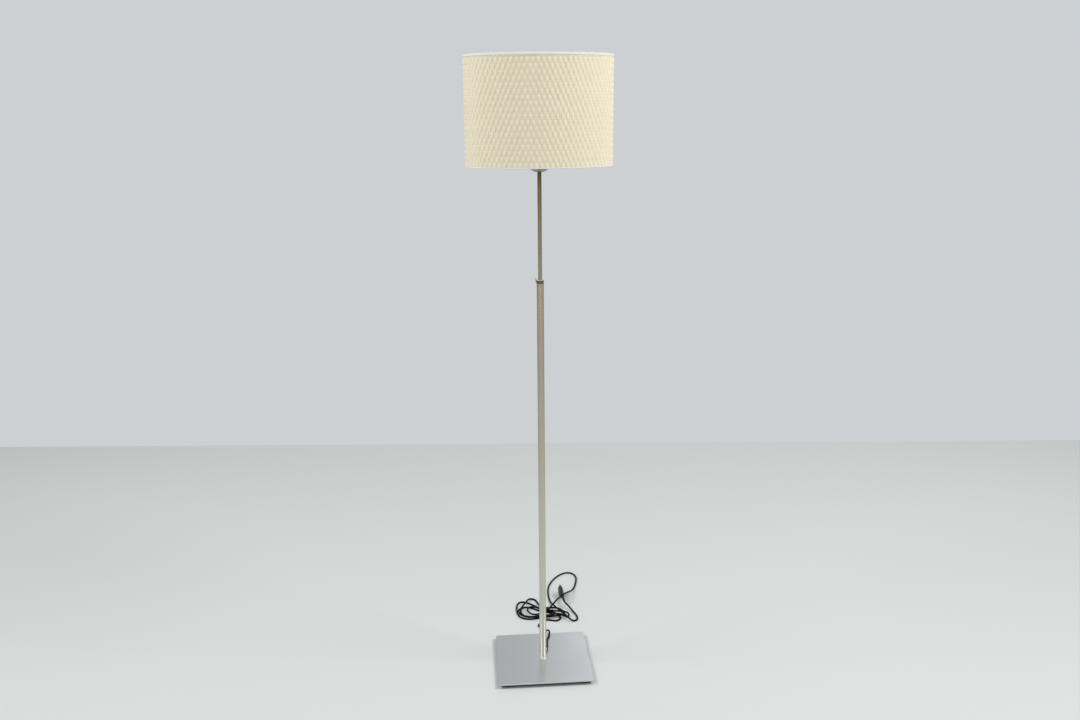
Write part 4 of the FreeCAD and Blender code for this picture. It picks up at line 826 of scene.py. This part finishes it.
class FLOORLAMP_OT_base(bpy.types.Operator):
    """Press the base cover and finish the weight, feet and fixings"""
    bl_idname = "floorlamp.base"
    bl_label = "Base"

    def execute(self, context):
        look = context.scene.floor_lamp.stand
        self.cover(look)
        bright = satin_nickel("bright_nickel_ferrule", look.ring_colour, rough=(0.06, 0.14), depth=0.001)
        low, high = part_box("foot_ring")
        foot, top, reach, bore = low.z / MM, high.z / MM, high.x / MM, 9.02
        bm = bmesh.new()
        turn(bm, [(bore, foot, 0), (reach, foot, 0.2), (reach, foot + 1.7, 0.6), (9.5, top, 0.35),
                  (bore, top, 0)])
        finish_piece(bm, "bright_foot_ring", "stand", [bright], "foot_ring")
        dress(["base_weight"], black_iron("painted_cast_iron", look.weight_colour))
        dress(["base_feet"], moulded_plastic("black_rubber", paint("26262A"), (0.7, 0.8), 0.6, 0.05))
        dress(["base_clamp_disc", "base_screw", "foot_plug"],
              satin_nickel("zinc_plated_steel", paint("BFC0BE"), rough=(0.3, 0.45)))
        return {"FINISHED"}

    def cover(self, look):
        """A tray of sheet metal turned over the weight, with rounded edges and a hole for the pole."""
        low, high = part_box("base_cover")
        half, top, lip = high.x / MM, high.z / MM, low.z / MM
        hole, sheet, corner, edge = 9.2, 1.2, 3, 1.2
        bm = bmesh.new()
        block(bm, (-half, -half, lip), (half, half, top))
        bmesh.ops.delete(bm, geom=[f for f in bm.faces if f.normal.z < -0.5], context="FACES_ONLY")
        soften(bm, [e for e in bm.edges if is_upright(e)], corner, 8)
        soften(bm, [e for e in bm.edges if is_level_at(e, top)], edge, 5)
        flat = [f for f in bm.faces if f.normal.z > 0.99 and len(f.verts) > 8]
        bmesh.ops.delete(bm, geom=flat, context="FACES_ONLY")
        rim = [e for e in bm.edges if e.is_boundary and is_level_at(e, top)]
        ring = bmesh.ops.create_circle(bm, segments=64, radius=hole * MM, matrix=shift_by(0, 0, top))["verts"]
        bmesh.ops.triangle_fill(bm, use_beauty=True, edges=rim + edges_of(ring), normal=(0, 0, 1))
        grain = bm.loops.layers.uv.new("brushing")
        for face in bm.faces:
            for loop in face.loops:
                loop[grain].uv = loop.vert.co.yx
        finish = brushed_sheet("satin_nickel_cover", look.cover_colour, look.brush / MM)
        piece = finish_piece(bm, "pressed_base_cover", "stand", [finish], "base_cover")
        thicken(piece, sheet, -1)
        piece.modifiers.new("even_faces", "WEIGHTED_NORMAL").keep_sharp = True


# Where the flex lies. Its centre is this high where it rests on the floor.
FLOOR = 2.6
LEAD_ROUTE = [
    (10.603, 29.131, 22), (14.707, 40.407, 22), (16.6, 54, 18.2), (16.8, 71, 16.9), (18.5, 88, 16.9),
    (24.5, 101, 17.6), (28, 114, 20.5), (27, 128, 21), (23.5, 140, 15), (20.5, 151, 7), (16, 163, FLOOR),
    (8.5, 176, FLOOR), (0.5, 189, FLOOR), (7.5, 202, FLOOR), (15, 213, FLOOR), (26, 221.5, FLOOR)]
# Four loose turns of spare flex: the first lies on the floor, the others beside and over it.
TURN_ROUTES = [
    [(37, 220, FLOOR), (48, 215, FLOOR), (58.5, 213.5, FLOOR), (67, 219, FLOOR), (70.5, 230, FLOOR),
     (67.5, 244, FLOOR), (60, 256.5, FLOOR), (49, 267, FLOOR), (36, 276, FLOOR), (20, 284, FLOOR),
     (8, 297, FLOOR), (-4, 312, FLOOR), (-18, 326, FLOOR), (-36, 338, FLOOR), (-50, 331, FLOOR),
     (-56, 310, FLOOR), (-57, 283, FLOOR), (-55, 257.8, FLOOR), (-45, 238, FLOOR), (-24.5, 228.6, FLOOR),
     (-2, 230.5, FLOOR)],
    [(15, 236.5, FLOOR), (28, 239.5, FLOOR), (40, 240, FLOOR), (47, 245, FLOOR), (48.8, 253.2, FLOOR),
     (45, 261, FLOOR), (33.5, 266.5, FLOOR), (20, 271.5, FLOOR), (6, 280, FLOOR), (-6, 292, FLOOR),
     (-21, 302, FLOOR), (-38, 301, FLOOR), (-49, 289, 4.2), (-54, 268, 8.2), (-47, 247, 7.9),
     (-30, 236, 7.9), (-10, 231.5, 7.9), (10, 231.5, 7.9)],
    [(34, 232, 7.9), (56, 232, 7.9), (74, 236.5, 7.7), (84, 248, 4), (84.5, 264, FLOOR), (77, 280, FLOOR),
     (64, 292, FLOOR), (48, 294, FLOOR), (33, 291, 3.2), (20, 296, 4.2), (13.5, 309, 4.6), (9.5, 323, 3.4),
     (6.5, 336, FLOOR), (3, 346.5, FLOOR), (-5.5, 351.5, 3.4), (-15, 348, 5.8), (-20.5, 337, 8.2),
     (-26, 324, 8.9), (-32, 312, 8.9), (-38, 300.5, 8.9), (-43.5, 288, 7.8), (-46.5, 271, 3.4),
     (-38, 252, FLOOR), (-22, 241.5, FLOOR), (-2, 241.5, 4.6)],
    [(20, 238.5, 7.9), (40, 238, 8.4), (58, 238, 12.2), (72, 233, 13.2), (82, 228, 8.4), (90.6, 229.2, 5.4),
     (96.3, 235.5, 4.6), (96.6, 244, 6.4), (91.2, 250.9, 8.9), (79.5, 255.5, 9.3), (66, 259.5, 8.4),
     (50, 265, 7.9), (34, 271, 7.9), (18, 278, 7.9), (4, 288, 7.9), (-10, 295, 7.9), (-22, 290, 7.9),
     (-26, 275, 7.9), (-21, 257, 7.9), (-10, 246.5, 8)]]
# Out of the turns, over the plug's strain relief, round behind it and back over the turns.
LOOP_ROUTE = [
    (3, 244.5, 8.6), (17, 251, 10.2), (30, 260, 12.2), (42, 272, 13), (54, 287, 18.5), (66, 300, 25),
    (80, 311, 29.5), (94, 329, 29.5), (106, 353, 21), (119, 382, 9), (131, 412, 2.8), (140, 446, FLOOR),
    (145.5, 475, FLOOR), (144, 500, FLOOR), (132, 518, FLOOR), (113, 520, FLOOR), (94, 507, FLOOR),
    (76, 485, FLOOR), (61, 457, FLOOR), (50.5, 425, FLOOR), (46.5, 391, FLOOR), (46, 358, FLOOR),
    (48, 332, FLOOR), (52, 310, 6), (57.5, 290, 10.5), (63, 272, 12.5), (69.5, 255, 14.6)]
# Round in front of the hank's right side and up into the plug.
TAIL_ROUTE = [
    (75.5, 241.5, 15.2), (82.5, 229, 14.6), (91, 217.5, 10.5), (101, 208.5, 5), (110.5, 207.5, FLOOR),
    (119, 214.5, FLOOR), (121, 230, FLOOR), (118, 246, FLOOR), (112, 262, 3), (105.5, 276, 6.5),
    (98, 287, 12.5), (89.08, 295.2, 17.65), (88.383, 305.1705, 17.65)]
# The middle of the plug's face, as it stands on its narrow edge, and the way that its pins point.
PLUG_SPOT = (83.5, 375.0, 17.65)
PLUG_HEADING = 94


class FLOORLAMP_OT_flex(bpy.types.Operator):
    """Lay the mains flex, from its outlet in the pole to its plug"""
    bl_idname = "floorlamp.flex"
    bl_label = "Mains flex"

    def execute(self, context):
        look = context.scene.floor_lamp.flex
        skin = vinyl_skin("black_vinyl_flex", look.flex_colour)
        route = [spot for stretch in (LEAD_ROUTE, *TURN_ROUTES, LOOP_ROUTE, TAIL_ROUTE) for spot in stretch]
        piece = self.smooth_line("mains_flex", route, look.diameter, skin)
        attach(piece, "stand")
        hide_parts("cord_lead", "cord_hank", "cord_loop", "cord_tail")
        on_it = [self.plug(look), *self.pins()]
        self.outlet(look)
        self.inner_flex(look, skin)
        dress(["inner_flex_upper"], skin)
        return {"FINISHED"}

    def smooth_line(self, name, route, diameter, skin):
        """A round flex along one smooth line."""
        curve = bpy.data.curves.new(name, "CURVE")
        curve.dimensions = "3D"
        curve.bevel_depth = diameter / 2
        curve.bevel_resolution = 4
        curve.resolution_u = 8
        curve.use_fill_caps = True
        spline = curve.splines.new("NURBS")
        spline.points.add(len(route) - 1)
        for point, spot in zip(spline.points, route):
            point.co = (*(Vector(spot) * MM), 1)
        spline.order_u = 3
        spline.use_endpoint_u = True
        curve.materials.append(skin)
        return new_object(name, curve)

    def inner_flex(self, look, skin):
        """The flex from its outlet up the pole, whose slack follows the upper tube up and down."""
        start, level, straight_from, steps = LEAD_ROUTE[0], LEAD_ROUTE[0][2], 31, 12
        top = heights_of("inner_flex_lower")[1]
        bend = [start, (0.3 * start[0], 0.3 * start[1], level), (0, 0, level), (0, 0, straight_from)]
        rise = [(0, 0, straight_from + (top - straight_from) * i / steps) for i in range(1, steps + 1)]
        drawn = self.smooth_line("inner_flex_line", bend + rise, look.diameter, skin)
        bpy.context.view_layer.update()
        mesh = bpy.data.meshes.new_from_object(drawn)
        mesh.name = "flex_in_pole"
        mesh.shade_smooth()
        bpy.data.objects.remove(drawn)
        piece = new_object("flex_in_pole", mesh)
        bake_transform(piece, "stand", "glide", start=(0, 0, 60 * MM), end=(0, 0, top * MM))
        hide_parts("inner_flex_lower")

    def plug_place(self):
        """From the plug's own frame, its pins along +X, to where it stands on its narrow edge."""
        return shift_by(*PLUG_SPOT) @ turn_by(PLUG_HEADING, "Z")

    def plug(self, look):
        """A flat moulded plug with grip ribs and a slotted strain relief."""
        thick, thin, wide, taper_from, taper_to = 6.85, 5.5, PLUG_SPOT[2], -16.0, -40.0
        form = [(0.0, thick, wide, 9.3, 1.5), (taper_from, thick, wide, 9.3, 1.5),
                (taper_to, thin, 7.5, 2.75, 1.2)]
        bm = bmesh.new()
        rings = []
        for x, far, high, side, edge in form:
            section = [(-edge, -high), (edge, -high), (far, -side), (far, side), (edge, high), (-edge, high),
                       (-far, side), (-far, -side)]
            rings.append([bm.verts.new((x * MM, y * MM, z * MM)) for y, z in section])
        bm.faces.new(rings[0])
        for ring in rings[1:]:
            for pair in zip(ring, ring[1:] + ring[:1]):
                bm.edges.new(pair)
        for before, after in zip(rings, rings[1:]):
            bmesh.ops.bridge_loops(bm, edges=edges_of(before) + edges_of(after))
        bmesh.ops.edgeloop_fill(bm, edges=[e for e in bm.edges if e.is_boundary])
        soften(bm, [e for e in bm.edges if e.calc_face_angle(0) > 0.3], 1.1, 4)
        for side in (-1, 1):
            for i in range(5):
                x = -19.5 - 3.6 * i
                lean = (thick - thin) / (taper_from - taper_to) * (taper_from - x)
                reach, tall = thick - lean, 8.6 - 1.1 * i
                near, far = sorted((side * (reach - 0.6), side * (reach + 0.1)))
                rib(bm, (x - 0.8, near, -tall), (x + 0.8, far, tall), 0.3)
        root, radius, narrower, long = -38, 4.3, 1.2, 32
        profile = [(0, root, 0), (radius, root, 0)]
        for i in range(7):
            start = -41.0 - 3.9 * i
            reach = radius - narrower * (root - start) / long
            profile += [(reach, start, 0.2), (reach - 0.8, start - 0.25, 0), (reach - 0.85, start - 1.5, 0),
                        (reach - 0.12, start - 1.75, 0.2)]
        profile += [(3.1, -69.6, 0.3), (2.55, root - long, 0), (0, root - long, 0)]
        move(bm, turn(bm, profile, 40), turn_by(90, "Y"))
        move(bm, bm.verts, self.plug_place())
        vinyl = moulded_plastic("dark_moulded_vinyl", look.plug_colour, (0.32, 0.42), 0.5, 0.02)
        return finish_piece(bm, "moulded_mains_plug", "stand", [vinyl], "plug_body",
                            weighted=True)

    def pins(self):
        """Two round pins with insulated roots and domed tips."""
        metal = satin_nickel("plated_brass_pin", paint("DAD8D0"), rough=(0.12, 0.2), grain=0.3, depth=0.001)
        sleeve = moulded_plastic("black_pin_sleeve", paint("202024"))
        core, root, spacing = 1.5, 9, 18.6
        pin = [(0, 0.1, 0), (core, 0.1, 0), (core, root, 0), (2, 9.05, 0.1), (2, 18.2, 0.5), (1.2, 19, 0.3),
               (0, 19, 0)]
        tube = [(core, 0.1, 0), (1.95, 0.1, 0), (1.95, root, 0.1), (core, root, 0)]
        pieces = []
        for name, finish, node, slot, profile in (
                ("round_contact_pins", metal, "plug_pins", "pin_nickel", pin),
                ("insulated_pin_roots", sleeve, "plug_pin_sleeves", "plug_plastic", tube)):
            bm = bmesh.new()
            for side in (-1, 1):
                move(bm, turn(bm, profile, 40), shift_by(0, 0, side * spacing / 2) @ turn_by(90, "Y"))
            move(bm, bm.verts, self.plug_place())
            pieces.append(finish_piece(bm, name, "stand", [finish], node))
        return pieces

    def outlet(self, look):
        """The tapered outlet that guides the flex out of the pole, with three shallow rings."""
        bore, stem, flange, wide, collar, tip, narrower = 2.55, 3.4, 4.6, 4, 11.3, 31, 0.8
        height, heading = LEAD_ROUTE[0][2], 70
        profile = [(bore, 6.8, 0), (stem, 6.8, 0), (stem, 10.1, 0), (flange, 10.1, 0.2),
                   (flange, collar, 0.3), (wide, 11.5, 0)]
        for i in range(4):
            start = 13.6 + 4 * i
            reach = wide - narrower * (start - collar) / (tip - collar)
            profile += [(reach, start, 0.1), (reach - 0.45, start + 0.3, 0), (reach - 0.45, start + 1.1, 0),
                        (reach - 0.1, start + 1.4, 0.1)]
        profile += [(3.2, 30.6, 0.25), (2.95, tip, 0.15), (bore, tip, 0)]
        bm = bmesh.new()
        turn(bm, profile, 48)
        move(bm, bm.verts, shift_by(0, 0, height) @ turn_by(heading, "Z") @ turn_by(90, "Y"))
        finish_piece(bm, "flex_outlet", "stand", [moulded_plastic("beige_moulded_outlet", look.gland_colour)],
                     "cord_gland")


# ---- stage -------------------------------------------------------------------------------------

class FLOORLAMP_OT_stage(bpy.types.Operator):
    """Set the floor, the soft lights and the camera"""
    bl_idname = "floorlamp.stage"
    bl_label = "Stage"

    def execute(self, context):
        look = context.scene.floor_lamp.stage
        context.scene.view_settings.view_transform = "Standard"
        self.camera(context, look)
        self.floor(look)
        self.lights(context, look)
        return {"FINISHED"}

    def camera(self, context, look):
        """Looks a little down on the lamp from the front left."""
        heading, pitch, roll = (math.radians(angle) for angle in (4.32, 14.29, -0.458))
        spot = (-0.1841, -2.4102, 1.4699)
        ahead = Vector((math.sin(heading) * math.cos(pitch), math.cos(heading) * math.cos(pitch),
                        -math.sin(pitch)))
        level = Vector((math.cos(heading), -math.sin(heading), 0))
        above = level.cross(ahead)
        right = level * math.cos(roll) + above * math.sin(roll)
        up = above * math.cos(roll) - level * math.sin(roll)
        data = bpy.data.cameras.new("camera")
        data.sensor_width = 36
        data.sensor_fit = "HORIZONTAL"
        data.lens = look.focal
        data.clip_start = 0.05
        camera = new_object("camera", data)
        camera.matrix_world = Matrix.Translation(spot) @ Matrix((right, up, -ahead)).transposed().to_4x4()
        context.scene.camera = camera

    def floor(self, look):
        """A matt floor that ends behind the lamp."""
        half, forwards, heading = 5, 3.18, -4.6
        bm = bmesh.new()
        bmesh.ops.create_grid(bm, x_segments=1, y_segments=1, size=half,
                              matrix=turn_by(heading, "Z") @ Matrix.Translation((0, -forwards, 0)))
        mesh = bpy.data.meshes.new("matt_floor")
        bm.to_mesh(mesh)
        bm.free()
        mesh.materials.append(start_finish("matt_floor", look.floor_colour, 0.9, Specular_IOR_Level=0.1)[0])
        new_object("matt_floor", mesh)

    def lights(self, context, look):
        """Large soft lamps and an even sky, which shows as the pale background."""
        aim = Vector((0, 0, 0.9))
        lamps = (("key", (2.6, -0.95, 3.5), (1.3, 1.3), look.key_power),
                 ("fill", (-2.75, -0.4, 3.45), (1.4, 1.4), look.fill_power),
                 ("front", (-0.4, -4.4, 2.7), (5.0, 1.6), look.front_power),
                 ("back", (2.0, 4.8, 2.75), (3.0, 2.4), look.back_power))
        for name, spot, (wide, tall), power in lamps:
            data = bpy.data.lights.new(name, "AREA")
            data.shape = "RECTANGLE"
            data.size, data.size_y = wide, tall
            data.energy = power
            lamp = new_object(name, data)
            lamp.location = spot
            lamp.rotation_euler = (aim - Vector(spot)).to_track_quat("-Z", "Y").to_euler()
            lamp.visible_camera = False
        world = bpy.data.worlds.new("studio")
        world.use_nodes = True
        context.scene.world = world
        tree = world.node_tree
        tree.nodes.clear()
        ray = add(tree, "LightPath").outputs
        seen = calculate(tree, "MAXIMUM", ray["Is Camera Ray"], ray["Is Glossy Ray"])
        seen = calculate(tree, "MAXIMUM", seen, ray["Is Transmission Ray"])
        sky = add(tree, "Background", {"Color": (1, 1, 1, 1), "Strength": look.sky})
        shown = add(tree, "Background", {"Color": (*look.back_colour, 1), "Strength": 1.0})
        both = add(tree, "MixShader", {0: seen, 1: sky.outputs[0], 2: shown.outputs[0]})
        add(tree, "OutputWorld", {"Surface": both.outputs[0]})


# ---- add-on ------------------------------------------------------------------------------------

class FLOORLAMP_PT_panel(bpy.types.Panel):
    """Lists the lamp's settings and pieces."""
    bl_label = "Floor lamp"
    bl_idname = "FLOORLAMP_PT_panel"
    bl_space_type = "VIEW_3D"
    bl_region_type = "UI"
    bl_category = "Floor lamp"

    def draw(self, context):
        look = context.scene.floor_lamp
        for part, piece in (("stage", FLOORLAMP_OT_stage), ("flex", FLOORLAMP_OT_flex),
                            ("stand", FLOORLAMP_OT_base), ("stand", FLOORLAMP_OT_pole),
                            ("holder", FLOORLAMP_OT_lampholder), ("shade", FLOORLAMP_OT_frame),
                            ("shade", FLOORLAMP_OT_shade)):
            box = self.layout.box()
            box.operator(piece.bl_idname)
            group = getattr(look, part)
            if piece not in (FLOORLAMP_OT_pole, FLOORLAMP_OT_frame):
                for name in group.__annotations__:
                    box.prop(group, name)


GROUPS = (ShadeLook, StandLook, HolderLook, FlexLook, StageLook, LampLook)
PIECES = (FLOORLAMP_OT_stage, FLOORLAMP_OT_flex, FLOORLAMP_OT_base, FLOORLAMP_OT_pole,
          FLOORLAMP_OT_lampholder, FLOORLAMP_OT_frame, FLOORLAMP_OT_shade)


def register():
    for kind in (*GROUPS, *PIECES, FLOORLAMP_PT_panel):
        bpy.utils.register_class(kind)
    bpy.types.Scene.floor_lamp = PointerProperty(type=LampLook, name="Floor lamp",
                                                 description="Settings of the floor lamp")


def unregister():
    del bpy.types.Scene.floor_lamp
    for kind in reversed((*GROUPS, *PIECES, FLOORLAMP_PT_panel)):
        bpy.utils.unregister_class(kind)


def main():
    """Builds every piece."""
    register()
    bpy.ops.floorlamp.stage()
    bpy.ops.floorlamp.flex()
    bpy.ops.floorlamp.base()
    bpy.ops.floorlamp.pole()
    bpy.ops.floorlamp.lampholder()
    bpy.ops.floorlamp.frame()
    bpy.ops.floorlamp.shade()


if __name__ == "__main__":
    main()
